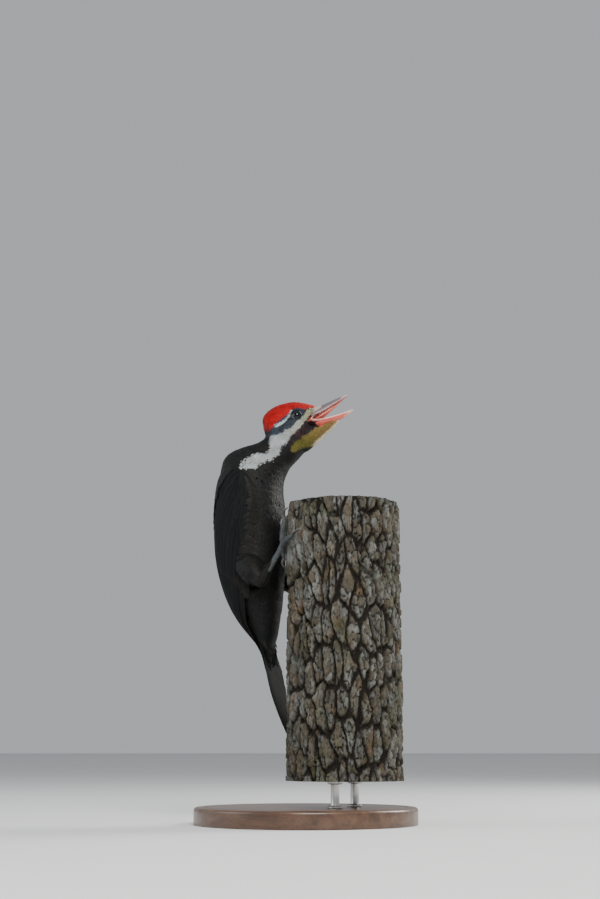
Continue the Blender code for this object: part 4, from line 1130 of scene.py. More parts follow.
def gape_folds():
    """The web at each corner of the mouth and the fleshy fold along its free edge, which runs on along the lower bill."""
    made = []
    for side in (1, -1):
        path = smooth_path([head_point(u, side * w, v) for u, w, v in GAPE_LINE], 56)
        r = np.interp(np.linspace(0, 1, 56), (0, 0.15, 0.42, 0.6, 0.8, 1), (0.18, 0.42, 0.82, 0.80, 0.55, 0.15))
        _, sd, up = frames_along(path, unit(head_point(0, side, 0) - head_point(0, 0, 0)))
        x = np.linspace(0, 2 * np.pi, 14, endpoint=False)
        made.append(closed_tube("gape_fold", path[:, None] + r[:, None, None] * (sd[:, None] * np.sin(x)[None, :, None] + up[:, None] * np.cos(x)[None, :, None])))
        made.append(closed_tube("gape_web", np.concatenate((web_grid(side), web_grid(side, 1.1)[:, ::-1]), 1)))
        made.append(closed_tube("gape_floor", floor_grid(side)))
    return made


def jaw(t, x):
    """The side of the lower bill's base, which the feathers of the jaw lie over: t from its front edge back, x round it, minus on the right."""
    t, x = np.broadcast_arrays(np.asarray(t, float), np.asarray(x, float))
    u = 12.4 - 7.8 * t - 1.2 * (1 - t) * np.abs(x) + 0.5 * np.sin(9.0 * x) * (1 - t)
    row = rows_at(LOWER_BILL, np.interp(u, LOWER_BILL[:, 0], np.arange(len(LOWER_BILL))))
    prof = rows_at(LOWER_HALF[:9], np.abs(x) * 8)
    w, v = row[..., 3] * prof[..., 0], row[..., 2] + (row[..., 1] - row[..., 2]) * prof[..., 1]
    out = smoothstep(0.42, 1.0, np.abs(x)) * smoothstep(15.5, 11.0, u)      # it swells out to the fold at the mouth's corner
    w = w + (np.interp(u, GAPE_FLOOR[0], GAPE_FLOOR[1]) + 0.30 - w) * out
    v = v + (np.interp(u, GAPE_FLOOR[0], GAPE_FLOOR[2]) - 0.95 - v) * out - 0.8 * np.sin(np.pi * out)
    return head_point(u, np.sign(x) * w, v)


def coat_of_jaw():
    r = np.random.default_rng(61)
    t, x, place = scatter(jaw, 0.0, 1.0, lambda t: 0.56 + 0 * t, 62, turn=(-1.0, 1.0), nt=60, nx=120)
    keep = (t > 0.16) | (r.random(len(t)) < 0.25 + 4.0 * t)
    t, x = t[keep], x[keep]
    T, X = np.meshgrid(np.linspace(0, 1, 40), np.concatenate((np.linspace(-1, -0.02, 44), np.linspace(0.02, 1, 44))), indexing="ij")
    grid = jaw(T, X)
    a, b, c, d = (grid[i:grid.shape[0] - 1 + i, j:grid.shape[1] - 1 + j] for i, j in ((0, 0), (1, 0), (1, 1), (0, 1)))
    flat = grid.reshape(-1, 3)
    idx = np.arange(len(flat)).reshape(T.shape)
    quads = np.stack((idx[:-1, :-1], idx[1:, :-1], idx[1:, 1:], idx[:-1, 1:]), -1).reshape(-1, 4)
    n = unit(np.cross(c - a, d - b)).reshape(-1, 3)
    out = flat[quads].mean(1) - head_point(8.0, 0.0, -19.5)
    n = n * np.sign((n * out).sum(-1, keepdims=True))
    surface = (BVHTree.FromPolygons([tuple(p) for p in flat], [tuple(int(i) for i in q) for q in quads]), n)
    m = len(t)
    line, up, H, thick, k, T2, gap, L = grow(jaw, surface, t, x, np.interp(t, (0, 0.35), (2.0, 3.4)) * r.uniform(0.85, 1.15, m), np.interp(t, (0, 0.3), (0.15, 0.24)), np.full(m, 0.32), np.full(m, 0.30), 3, 0.17, r, tmax=1.0, onto=True)
    line = line + up * 0.28
    seen = in_head(jaw(np.clip(T2[:, 2], 0, 1), -np.abs(x[k])))
    low = (np.abs(x[k]) < 0.16 + 0.1 * r.random(len(k))) & (t[k] < 0.2)
    # the lowest feathers take the throat's olive painted shade, the others the malar's dark
    tone = np.where(low[:, None], mix(OLIVE_SHADE, OCHRE, r.random(len(k)) * 0.4), mix(MALAR, MALAR_MAROON, r.random(len(k)) * 0.7))
    shades = np.repeat(tone[:, None], 3, 1)
    shades[:, 0] = tone + (np.array((0.16, 0.045, 0.035)) - tone) * (0.6 * smoothstep(0.22, 0.0, t[k]))[:, None]
    uv = np.stack(((x[k] + 1) / 2, t[k]), -1) * 0.98 + 0.01
    c = Coat()
    c.add(line, up, H, thick, shaded(shades, r, k), uv)
    c.make("coat_jaw", "head_plumage", "head_plumage")


# =====================================================================================
# the skin, and the outer form that the coat lies to
# =====================================================================================
def body_tube(name, out, t0=0.0, t1=AT["covert_tips"], steps=150, around=96):
    t = np.linspace(t0, t1, steps)[:, None]
    x = np.linspace(0, 2 * np.pi, around, endpoint=False)[None]
    depth = out if np.isscalar(out) else rows_at(out, t + 0 * x)[..., 0]
    return closed_tube(name, body(t + 0 * x, x + 0 * t, depth))


def chin_tube(name, out, steps=50, around=48):
    t = np.linspace(0, len(CHIN) - 1, steps)[:, None]
    x = np.linspace(0, 2 * np.pi, around, endpoint=False)[None]
    return closed_tube(name, chin(t + 0 * x, x + 0 * t, out))


def mouth_wedge():
    rings = [[head_point(u, y, v) for y, v in ((-13, top), (13, top), (13, bottom), (-13, bottom))] for u, top, bottom in MOUTH]
    return closed_tube("mouth_wedge", np.array(rings))


def ball(name, centre, radius):
    a = np.linspace(2, 178, 40)[:, None] * np.pi / 180
    b = np.linspace(0, 2 * np.pi, 64, endpoint=False)[None]
    grid = centre + radius * np.stack((np.sin(a) * np.cos(b), np.sin(a) * np.sin(b), np.cos(a) + 0 * b), -1)
    return closed_tube(name, grid)


def outward(obj):
    bm = bmesh.new()
    bm.from_mesh(obj.data)
    bmesh.ops.recalc_face_normals(bm, faces=bm.faces)
    bm.to_mesh(obj.data)
    bm.free()
    return obj


def make_form():
    """The outer form of head, body, chin and thighs in one, for the coat to lie to."""
    parts = [body_tube("f", 0.0), chin_tube("f", 0.0)]
    for side in (1, -1):
        parts.append(closed_tube("f", thigh_grid(side, 0.0)))
    for p in parts:
        outward(p)
    form = remesh(joined("form", parts), 1.1, 3)
    co = coordinates(form)
    me = form.data
    n = np.empty(len(me.vertices) * 3, np.float32)
    me.vertices.foreach_get("normal", n)
    normals = n.reshape(-1, 3).astype(float)
    quads = np.array([p.vertices[:] for p in me.polygons if len(p.vertices) == 4])
    tree = BVHTree.FromPolygons([tuple(c) for c in co], [tuple(int(i) for i in q) for q in quads])
    face_n = unit(normals[quads].mean(1))
    bpy.data.objects.remove(form)
    return tree, face_n


def nearest(tree_n, x):
    tree, face_n = tree_n
    flat = x.reshape(-1, 3)
    hit = np.empty_like(flat)
    idx = np.empty(len(flat), int)
    dist = np.empty(len(flat))
    find = tree.find_nearest
    for k, p in enumerate(flat.tolist()):
        loc, _, i, d = find(p)
        hit[k] = loc
        idx[k] = i
        dist[k] = d
    return hit.reshape(x.shape), face_n[idx].reshape(x.shape), dist.reshape(x.shape[:-1])


def make_skin(tubes):
    bare = np.concatenate([coordinates(o) for o in tubes])
    depth = -COAT_ROWS[:, :1]
    parts = [body_tube("s", depth, steps=170), chin_tube("s", -0.8)]
    for side in (1, -1):
        parts.append(closed_tube("s", thigh_grid(side, -2.6)))
        t = np.linspace(0.3, 8.5, 60)[:, None]
        f = np.concatenate((np.linspace(0.04, 0.96, 30), np.linspace(0.96, 0.04, 30)))[None]
        out = np.concatenate((np.full(30, 0.42), np.full(30, -0.6)))[None]
        thin = smoothstep(8.5, 7.0, t)
        parts.append(closed_tube("s", wing_at(t + 0 * f, f + 0 * t, side, out * (0.3 + 0.7 * thin))))
    for p in parts:
        outward(p)
    skin = remesh(joined("skin_core", parts), 1.15, 2)
    told("skin core")
    cut_or_join(skin, "DIFFERENCE", outward(mouth_wedge()))
    for side in (1, -1):
        cut_or_join(skin, "DIFFERENCE", outward(ball("socket", on_eye(side, 0.0, 0.0, 0.0), EYE_R + 0.02)))
    fine = [outward(o) for o in tubes + lid_rings() + gape_folds()]
    extra = remesh(joined("skin_fine", fine), 0.34, 1)
    told("fine skin")
    cut_or_join(skin, "UNION", extra)
    skin.name = skin.data.name = "bird_skin"
    skin.data.shade_smooth()
    told(f"skin {len(skin.data.polygons)} faces")

    # its colours: the coat's own under the coat, made a little darker as painted shade beneath the feathers, bare skin
    # elsewhere
    x = coordinates(skin)
    T, H = np.meshgrid(np.linspace(0, 23, 116), np.linspace(-np.pi, np.pi, 73)[:-1], indexing="ij")
    grid, twin = body(T, H), body(T, -np.abs(H))
    C, D = np.meshgrid(np.linspace(0, 6, 25), np.linspace(-np.pi, np.pi, 33)[:-1], indexing="ij")
    thighs = np.concatenate([thigh_grid(side, 0.0)[:54].reshape(-1, 3) for side in (1, -1)])
    grid = np.concatenate((grid.reshape(-1, 3), chin(C, D).reshape(-1, 3), thighs))
    twin = np.concatenate((twin.reshape(-1, 3), chin(C, -np.abs(D)).reshape(-1, 3), np.repeat(body(18.0, -2.0)[None], len(thighs), 0)))
    tree = KDTree(len(grid))
    for i, p in enumerate(grid.tolist()):
        tree.insert(p, i)
    tree.balance()
    near = np.array([tree.find(p)[1:] for p in x.tolist()])
    colour = markings(twin[near[:, 0].astype(int)]) * 0.85 + 0.001
    h = in_head(x)
    soles = KDTree(len(bare))
    for i, p in enumerate(bare.tolist()):
        soles.insert(p, i)
    soles.balance()
    leg = np.zeros(len(x), bool)
    low = (x[:, 2] < bare[:, 2].max() + 2) & (x[:, 0] > bare[:, 0].min() - 2)
    leg[low] = [soles.find(p)[2] < 0.75 for p in x[low].tolist()]
    tone = mix((0.078, 0.086, 0.090), (0.032, 0.036, 0.039), cloud(x / (2.0, 2.0, 1.2)))
    colour[leg] = tone[leg]
    inner = (h[:, 0] > 5.0) & (np.abs(h[:, 1]) < 9.2) & (h[:, 2] > -24) & (h[:, 2] < -8) & (np.abs(h[:, 2] - np.interp(h[:, 0], MOUTH[:, 0], MOUTH[:, 1:].mean(1)))
                                                                                         < np.interp(h[:, 0], MOUTH[:, 0], (MOUTH[:, 1] - MOUTH[:, 2]) / 2) + 1.0)
    inner |= in_horn(x, -0.6) & (h[:, 2] < -7.5)
    colour[inner] = mix((0.30, 0.05, 0.04), (0.50, 0.10, 0.08), cloud(x / 3.0))[inner]
    flesh = bare_jaw(x)
    colour[flesh] = mix((0.52, 0.075, 0.052), (0.62, 0.130, 0.098), cloud(x / 2.0))[flesh]
    for side in (1, -1):
        for points, reach, one, two in ((floor_grid(side).reshape(-1, 3), 0.7, (0.40, 0.085, 0.065), (0.25, 0.05, 0.04)),
                                        (web_grid(side, 0.4, 12).reshape(-1, 3), 1.35, (0.42, 0.105, 0.07), (0.25, 0.055, 0.04)),
                                        (smooth_path([head_point(u, side * w, v) for u, w, v in GAPE_LINE], 120), 1.02, (0.72, 0.42, 0.37), (0.62, 0.27, 0.22))):
            d = np.full(len(x), 9.0)
            local = np.linalg.norm(x - points.mean(0), axis=1) < 22
            d[local] = np.min(np.linalg.norm(x[local][:, None] - points[None], axis=2), axis=1)
            share = smoothstep(reach + 0.22, reach - 0.28, d)[:, None]
            colour = colour * (1 - share) + mix(one, two, cloud(x / 1.5)) * share
        centre, axis, e1, e2 = eye_frame(side)
        rel = x - centre
        a = rel @ axis
        rho = np.linalg.norm(rel - a[:, None] * axis, axis=1)
        ring = (a > 2.2) & (rho < 6.3) & (np.linalg.norm(rel, axis=1) > 5.4)
        front = np.abs(rel @ e1) / np.maximum(rho, 1e-6)
        ahead = smoothstep(0.80, 0.97, front) * smoothstep(5.6, 4.9, rho) * np.where(rel @ e1 > 0, 1.0, 0.6)
        lid = mix((0.006, 0.008, 0.011), (0.15, 0.17, 0.175), ahead)
        colour = np.where(ring[:, None], lid * (0.8 + 0.4 * cloud(x / 0.8))[:, None], colour)
    paint(skin, colour)
    piece(skin, "skin", "body_plumage", "head", "neck", "torso", "leg_left", "leg_right", "foot_left", "foot_right")
    return skin


# =====================================================================================
# the coat
# =====================================================================================
MID = 3      # rings between the root and the tip of a blade


class Coat:
    """Blades of one coat piece, gathered and then made into one mesh."""

    def __init__(self):
        self.co, self.tint, self.uv = [], [], []

    def add(self, points, up, half, thick, tint, uv):
        """points (n, 5, 3), up (n, 5, 3), half and thick (n, 3), tint (n, 3 shades, 3), uv (n, 2)."""
        ahead = unit(points[:, 2:] - points[:, :-2])
        side = unit(np.cross(ahead, up[:, 1:-1]))
        rise = unit(np.cross(side, ahead))
        mid = points[:, 1:-1]
        left, right = mid - side * half[..., None], mid + side * half[..., None]
        ridge = mid + rise * thick[..., None]
        rings = np.stack((left, ridge, right), 2)                  # (n, 3, 3, 3)
        n = len(points)
        co = np.concatenate((rings.reshape(n, 9, 3), points[:, :1], points[:, -1:]), 1)
        # the root point darker still (x0.6), painted shade beneath the overlapping feathers; the tip point a little
        # lighter (x1.04)
        shade = np.concatenate((np.repeat(tint[:, :, None], 3, 2).reshape(n, 9, 3), tint[:, :1] * 0.6, tint[:, 2:3] * 1.04), 1)
        along = np.array([0.28] * 3 + [0.55] * 3 + [0.8] * 3 + [0.0, 1.0])
        across = np.array([0, 0.5, 1] * 3 + [0.5, 0.5])
        patch = uv[:, None] + (np.stack((across, along), -1)[None] - 0.5) * 0.003
        self.co.append(co)
        self.tint.append(shade)
        self.uv.append(patch)

    def count(self):
        return sum(len(c) for c in self.co)

    def make(self, name, material, slot, *nodes):
        co, tint, uv = (np.concatenate(a) for a in (self.co, self.tint, self.uv))
        n = len(co)
        quads, tris = tube_faces(3, 3)
        at = (np.arange(n) * 11)[:, None, None]
        lo, hi = uv.reshape(-1, 2).min(0), uv.reshape(-1, 2).max(0)
        uv = np.clip(uv, 0.001, 0.999)
        obj = new_mesh(name, co.reshape(-1, 3), (quads[None] + at).reshape(-1, 4), (tris[None] + at).reshape(-1, 3), tint.reshape(-1, 3), uv.reshape(-1, 2), sharp=62)
        told(f"{name}: {n} blades, {n * 18} triangles")
        return piece(obj, material, slot, *nodes)


def scatter(fn, t0, t1, spacing, seed, turn=(-np.pi, np.pi), nt=260, nx=240):
    """Roots over a surface, about spacing(t) apart, as (t, x, place)."""
    r = np.random.default_rng(seed)
    t, x = np.linspace(t0, t1, nt + 1), np.linspace(turn[0], turn[1], nx + 1)
    T, X = np.meshgrid(t, x, indexing="ij")
    P = fn(T, X)
    a = P[1:, :-1] - P[:-1, :-1]
    b = P[:-1, 1:] - P[:-1, :-1]
    area = np.linalg.norm(np.cross(a, b), axis=-1)
    gap = spacing((T[:-1, :-1] + T[1:, :-1]) / 2)
    weight = (area / gap ** 2).ravel()
    n = int(weight.sum() * 3.2)
    cell = r.choice(len(weight), n, p=weight / weight.sum())
    ti = (cell // nx + r.random(n)) / nt * (t1 - t0) + t0
    xi = (cell % nx + r.random(n)) / nx * (turn[1] - turn[0]) + turn[0]
    place = fn(ti, xi)
    reach = spacing(ti)
    tree = KDTree(n)
    for i, p in enumerate(place.tolist()):
        tree.insert(p, i)
    tree.balance()
    gone = bytearray(n)
    keep = []
    pts = place.tolist()
    for i in range(n):
        if gone[i]:
            continue
        keep.append(i)
        for _, j, _ in tree.find_range(pts[i], reach[i]):
            gone[j] = 1
    return ti[keep], xi[keep], place[keep]


FS = np.array([0.0, 0.28, 0.55, 0.8, 1.0])


def grow(fn, form, t, x, length, half, depth, lift, blades, fan, r, way=1.0, tmax=99.0, onto=False, front=None, tail=False):
    """Centre lines of blades from roots (t, x): (n * blades, 5, 3), the normals, and where they lie in t."""
    n = len(t)
    e = 0.02
    step = np.linalg.norm(fn(t + e, x) - fn(t - e, x), axis=-1) / (2 * e)
    step = np.maximum(step, 1.5)
    k = np.repeat(np.arange(n), blades)
    place = np.tile(np.linspace(-1, 1, blades) if blades > 1 else np.zeros(1), n)
    yaw = place * fan + r.normal(0, 0.25 * fan + 0.04, n * blades)
    L = length[k] * (1 - 0.16 * np.abs(place)) * r.uniform(0.88, 1.10, n * blades)
    T = t[k][:, None] + way * FS[None] * (L / step[k])[:, None]
    X = np.repeat(x[k][:, None], 5, 1)
    # past the end of the surface the blade runs straight on
    over = np.maximum(T - tmax, 0.0)
    slope = (fn(np.full(n * blades, tmax), x[k]) - fn(np.full(n * blades, tmax - 0.5), x[k])) / 0.5
    P = fn(np.clip(T, 0, tmax), X) + over[..., None] * slope[:, None]
    if tail:                    # the last feathers close in on the tail from both sides
        under = np.cos(x[k])[:, None] < 0
        P = over_tail(P, np.where(under, 1.7, -1.4), 0.95 * smoothstep(0.0, 12.0, over * step[k][:, None]))
        yaw = yaw * np.where(t[k] > 20.5, 0.55, 1.0)
    if front is not None:       # and before its first ring along a given direction
        before = np.maximum(-T, 0.0)
        P = P + before[..., None] * step[k][:, None, None] * front
        over = over + before
    free = (over > 0) & (not onto)
    flat, up, gap = nearest(form, P)
    hit = np.where(free[..., None], P, flat)
    ahead = unit(P[:, -1] - P[:, 0])
    side = unit(np.cross(up[:, 0], ahead))
    bend = r.normal(0, 0.05, (n * blades, 1))
    shift = (np.tan(yaw)[:, None] * FS[None] + bend * FS[None] ** 2) * L[:, None]
    hit = hit + side[:, None] * shift[..., None]
    flat, up2, _ = nearest(form, hit)
    hit = np.where(free[..., None], hit, flat)
    for j in range(1, 5):
        up2[:, j] = np.where(free[:, j:j + 1], up2[:, j - 1], up2[:, j])
    layer = r.uniform(-0.08, 0.30, n)[k][:, None] * np.clip(L.mean() / 8, 0.4, 1.3) + r.uniform(-0.05, 0.05, (n * blades, 1))
    rise = -depth[k][:, None] * (1 - smoothstep(0.0, 0.62, FS))[None] + lift[k][:, None] * FS[None] ** 2.2 + layer * FS[None]
    line = hit + up2 * rise[..., None]
    H = half[k][:, None] * np.array([0.80, 1.0, 0.72])[None] * r.uniform(0.85, 1.15, (n * blades, 1))
    thick = np.maximum(H * 0.26, 0.05)
    return line, up2, H, thick, k, T, gap[:, 0], L


def shaded(colour, r, k, spread=0.10):
    """Shades along each blade of colours (n, 3 places, 3): darker towards its hidden root, partly the feathers' own
    darker bases and partly painted shade beneath the overlapping feathers, and every feather a little its own.
    """
    n = len(colour)
    own = r.normal(1.0, spread, k.max() + 1).clip(0.7, 1.35)[k] * r.normal(1.0, 0.05, n).clip(0.85, 1.15)
    return colour * np.array([0.78, 0.97, 1.06])[None, :, None] * own[:, None, None]


def keep_off_eyes(line, least=5.5):
    """Pushes lines outwards from the eyes' openings."""
    for side in (1, -1):
        centre, axis, e1, e2 = eye_frame(side)
        rel = line - centre
        a = (rel @ axis)[..., None]
        flat = rel - a * axis
        rho = np.linalg.norm(flat, axis=-1, keepdims=True)
        push = np.where((a > 0.5) & (rho < least), least / np.maximum(rho, 0.5), 1.0)
        line = centre + a * axis + flat * push
    return line


def bare_jaw(x):
    """The bare flesh right behind and below the root of the lower bill."""
    h = in_head(x)
    u, v = h[..., 0], h[..., 2]
    return (u > 12.6) & (u < 19.6) & (v < -20.5) & (v > -27.4 + 0.40 * (u - 13.0))


def near_eye(x, least):
    bad = np.zeros(len(x), bool)
    for side in (1, -1):
        centre, axis, _, _ = eye_frame(side)
        rel = x - centre
        a = rel @ axis
        rho = np.linalg.norm(rel - a[:, None] * axis, axis=-1)
        bad |= (a > 0.5) & (rho < least)
    return bad


def in_horn(x, out=-0.1):
    """Places within the horn of either half of the bill, by its own profile."""
    h = in_head(x)
    u, w, v = h[..., 0], np.abs(h[..., 1]), h[..., 2]
    found = np.zeros(u.shape, bool)
    for rows, half, first in ((UPPER_BILL, UPPER_HALF[:10][::-1], 8.0), (LOWER_BILL, LOWER_HALF[:9], 5.5)):
        top, bottom, wide = (np.interp(u, rows[:, 0], rows[:, k]) for k in (1, 2, 3))
        y = (v - bottom) / (top - bottom)
        reach = np.interp(y, half[:, 1], half[:, 0]) * wide
        found |= (u > first) & (u < rows[-1, 0]) & (y > 0) & (y < 1) & (w < reach + out)
    return found


def in_mouth(x, room=0.3):
    """Places in the open mouth or within the horn of the bill."""
    h = in_head(x)
    u, w, v = h[..., 0], np.abs(h[..., 1]), h[..., 2]
    top, bottom = np.interp(u, MOUTH[:, 0], MOUTH[:, 1]), np.interp(u, MOUTH[:, 0], MOUTH[:, 2])
    gape = (u > 6.0) & (v < top + room) & (v > bottom - room)
    up = [np.interp(u, UPPER_BILL[:, 0], UPPER_BILL[:, k]) for k in (1, 2, 3)]
    upper = (u > 10) & in_horn(x) | (u > 11) & (v < up[1] + 0.5) & (v > up[1] - 0.6) & (w < up[2] - 0.1)
    lo = [np.interp(u, LOWER_BILL[:, 0], LOWER_BILL[:, k]) for k in (1, 2, 3)]
    lower = (u > 9) & (v < lo[0] + 1.5) & (v > lo[1] + 0.5) & (w < lo[2] + 1.2)
    return gape | upper | lower


def under_wing(t, x, inset=9.0):
    at = WING_ROWS[:, 0]
    dorsal, ventral = np.interp(t, at, WING_ROWS[:, 1]), np.interp(t, at, WING_ROWS[:, 2])
    deg = np.degrees(np.abs((x + np.pi) % (2 * np.pi) - np.pi))
    tip = smoothstep(18.6, 20.0, t)
    return (t > 13.4) & (deg > dorsal + inset * smoothstep(14, 16, t) * (1 - 0.4 * tip)) & (deg < ventral - inset + (inset + 2.0) * tip)


def coat_of_body(form):
    at = np.arange(24.0)
    spacing = lambda t: np.interp(t, at, COAT_ROWS[:, 3])
    beak = unit(head_point(1.0, 0.0, 0.0) - head_point(0.0, 0.0, 0.0))
    t, x, place = scatter(body, 0.04, AT["covert_tips"], spacing, 31, nt=330, nx=240)
    _, _, gap = nearest(form, place)
    bad = (gap > np.where(t < 1.3, 1.7, 0.9)) | near_eye(place, 5.9) | in_mouth(place) | under_wing(t, x)
    t, x, place = t[~bad], x[~bad], place[~bad]
    told(f"{len(t)} feathers on the body")
    arc = np.concatenate(([0], np.cumsum(np.linalg.norm(np.diff(body(np.linspace(0, 23, 231), np.full(231, np.pi / 2)), axis=0), axis=1))))
    groups = {}
    deg = np.degrees(np.abs(x))
    for name, sel, blades, fan, material, slot in (
            ("coat_face", (t < 5.0) & (deg > 50), 3, 0.16, "head_plumage", "head_plumage"),
            ("coat_crown", (t < 8.5) & (deg <= 50), 3, 0.17, "head_plumage", "head_plumage"),
            ("coat_cheek", (t >= 5.0) & (t < 8.5) & (deg > 50), 3, 0.17, "head_plumage", "head_plumage"),
            ("coat_neck", (t >= 8.5) & (t < 13.0), 4, 0.20, "plumage", "body_plumage"),
            ("coat_breast", (t >= 13.0) & (deg > 90), 5, 0.24, "plumage", "body_plumage"),
            ("coat_back", (t >= 13.0) & (deg <= 90), 5, 0.24, "plumage", "body_plumage")):
        r = np.random.default_rng(len(name) * 101)
        tt, xx = t[sel], x[sel]
        length = np.interp(tt, at, COAT_ROWS[:, 1]) * r.uniform(0.88, 1.12, len(tt))
        half = np.interp(tt, at, COAT_ROWS[:, 2])
        depth = np.interp(tt, at, COAT_ROWS[:, 0])
        loose = cloud(body(tt, xx) / 9.0)
        lift = 0.10 + 0.30 * smoothstep(0.5, 0.8, loose)
        way = np.where(tt < 1.15 + 0.7 * (cloud(body(tt, xx) / 1.6) - 0.5) + r.normal(0, 0.22, len(tt)), -1.0, 1.0)
        depth = depth * (0.22 + 0.78 * smoothstep(0.25, 1.0, np.abs(tt - 1.15)))
        length = length * np.where(way < 0, 1.32, 1.0)
        half = half * np.where(way < 0, 0.85, 1.0)
        dd = np.degrees(np.abs(xx))
        if name == "coat_crown":
            crest = smoothstep(3.8, 6.0, tt) * smoothstep(9.0, 7.6, tt)
            length = length * (1 + 0.55 * crest)
            lift = lift + 1.0 * crest * r.uniform(0.3, 1.0, len(tt))
            half = half * (1 - 0.15 * crest)
        if name == "coat_neck":
            lift = lift + 0.35 * smoothstep(0.55, 0.8, loose)
        if name in ("coat_breast", "coat_back"):
            lift = (lift + 0.25 + 0.5 * smoothstep(0.5, 0.85, loose)) * (1 - 0.6 * smoothstep(20.0, 22.0, tt))
            half = half * 1.12
            length = length * (1 + 0.75 * smoothstep(20.3, 22.6, tt) * r.uniform(0.5, 1.1, len(tt)))
        line, up, H, thick, k, T, gap, L = grow(body, form, tt, xx, length, half, depth, lift, blades, fan, r, way=way[np.repeat(np.arange(len(tt)), blades)][:, None] if np.any(way < 0) else 1.0,
                                                tmax=22.9, front=beak, tail=True)
        line = keep_off_eyes(line)
        bad = in_mouth(line[:, 2], 0.0) | in_mouth(line[:, 4], 0.0) if name in ("coat_face", "coat_cheek") else np.zeros(len(line), bool)
        ring = np.clip(np.stack((T[:, 1] * 0.4 + T[:, 2] * 0.6, T[:, 2] * 0.7 + T[:, 3] * 0.3, T[:, 3] * 0.7 + T[:, 4] * 0.3), -1), 0, 24.5)
        seen = body(ring, np.repeat(-np.abs((xx[k] + np.pi) % (2 * np.pi) - np.pi)[:, None], 3, 1))
        seen = seen + r.normal(0, 0.28, (len(tt), 1, 3))[k]
        tint = shaded(markings(seen), r, k, 0.16 if "breast" in name or "back" in name else 0.10)
        uv = np.stack((0.004 + 0.992 * (xx[k] + np.pi) / (2 * np.pi), 0.004 + 0.992 * np.interp(tt[k], np.linspace(0, 23, 231), arc) / arc[-1]), -1)
        ok = ~bad
        groups[name] = (line[ok], up[ok], H[ok], thick[ok], tint[ok], uv[ok], (xx[k] > 0)[ok], material, slot)
    for name, (line, up, H, thick, tint, uv, left, material, slot) in groups.items():
        # fill the map with the piece's own stretch of the body
        lo, hi = uv.min(0), uv.max(0)
        uv = 0.01 + 0.98 * (uv - lo) / (hi - lo)
        halves = ((name, np.ones(len(line), bool)),)
        if len(line) * 18 > 190000:
            halves = ((name + "_left", left), (name + "_right", ~left))
        for word, sel in halves:
            c = Coat()
            c.add(line[sel], up[sel], H[sel], thick[sel], tint[sel], uv[sel])
            c.make(word, material, slot)


def coat_of_chin(form):
    r = np.random.default_rng(77)
    t, x, place = scatter(chin, 0.05, 6.0, lambda t: 0.66 + 0 * t, 78, nt=90, nx=100)
    _, _, gap = nearest(form, place)
    bad = (gap > 0.9) | in_mouth(place) | bare_jaw(place)
    t, x, place = t[~bad], x[~bad], place[~bad]
    length = np.interp(t, (0, 1, 6), (2.6, 3.6, 5.6)) * r.uniform(0.85, 1.15, len(t))
    half = np.interp(t, (0, 6), (0.23, 0.34))
    line, up, H, thick, k, T, gap, L = grow(chin, form, t, x, length, half, np.interp(t, (0, 1, 6), (0.3, 0.8, 1.0)), np.full(len(t), 0.25), 3, 0.17, r, tmax=5.9, onto=True)
    seen = chin(np.clip(T[:, 2], 0, 6), -np.abs((x[k] + np.pi) % (2 * np.pi) - np.pi)) + r.normal(0, 0.25, (len(t), 3))[k]
    tint = shaded(np.repeat(markings(seen)[:, None], 3, 1), r, k)
    bad = in_mouth(line[:, 2], 0.0) | in_mouth(line[:, 4], 0.0) | bare_jaw(line[:, 3])
    uv = np.stack(((x[k] + np.pi) / (2 * np.pi), t[k] / 6.0), -1) * 0.98 + 0.01
    c = Coat()
    ok = ~bad
    c.add(line[ok], up[ok], H[ok], thick[ok], tint[ok], uv[ok])
    c.make("coat_chin", "head_plumage", "head_plumage")


def coat_of_thighs(form):
    T, X = np.meshgrid(np.linspace(13, 23, 80), np.linspace(-np.pi, np.pi, 91)[:-1], indexing="ij")
    grid = body(T, X).reshape(-1, 3)
    tree = KDTree(len(grid))
    for i, p in enumerate(grid.tolist()):
        tree.insert(p, i)
    tree.balance()
    for word, side in (("left", 1), ("right", -1)):
        r = np.random.default_rng(90 + side)
        fn = thigh_at(thigh_grid(side, 0.0, 120, 90))
        t, x, place = scatter(fn, 0.25, 5.7, lambda t: np.interp(t, (0, 4, 6), (1.9, 1.5, 1.0)), 91 + side, nt=120, nx=100, turn=(0, 2 * np.pi))
        _, _, gap = nearest(form, place)
        found = [tree.find(p)[1:] for p in place.tolist()]
        near, off = np.array([f[0] for f in found], int), np.array([f[1] for f in found])
        bad = (gap > 1.0) | (under_wing(T.reshape(-1)[near], X.reshape(-1)[near], 3.0) & (off < 3.4))
        t, x, place = t[~bad], x[~bad], place[~bad]
        length = np.interp(t, (0, 4, 5.2, 6), (10.5, 8.0, 4.4, 2.6)) * r.uniform(0.85, 1.15, len(t))
        half = np.interp(t, (0, 4, 6), (1.0, 0.75, 0.42))
        depth = np.interp(t, (0, 4.4, 6), (2.6, 1.6, 0.5))
        line, up, H, thick, k, T2, gap, L = grow(fn, form, t, x, length, half, depth, np.full(len(t), 0.35), 5, 0.24, r, tmax=5.95)
        tone = mix(BLACK, BLACK_BROWN, cloud(place / 6.0))[k]
        uv = np.stack((x[k] / (2 * np.pi), t[k] / 6.0), -1) * 0.98 + 0.01
        c = Coat()
        c.add(line, up, H, thick, shaded(np.repeat(tone[:, None], 3, 1), r, k, 0.16), uv)
        c.make(f"coat_thigh_{word}", "plumage", "body_plumage")


# =====================================================================================
# flight feathers, wing coverts and tail
# =====================================================================================
TOP_Y = np.linspace(-1, 1, 9)
SECTION = np.concatenate((TOP_Y, np.linspace(1, -1, 7)[1:-1]))      # across the upper side, then back beneath


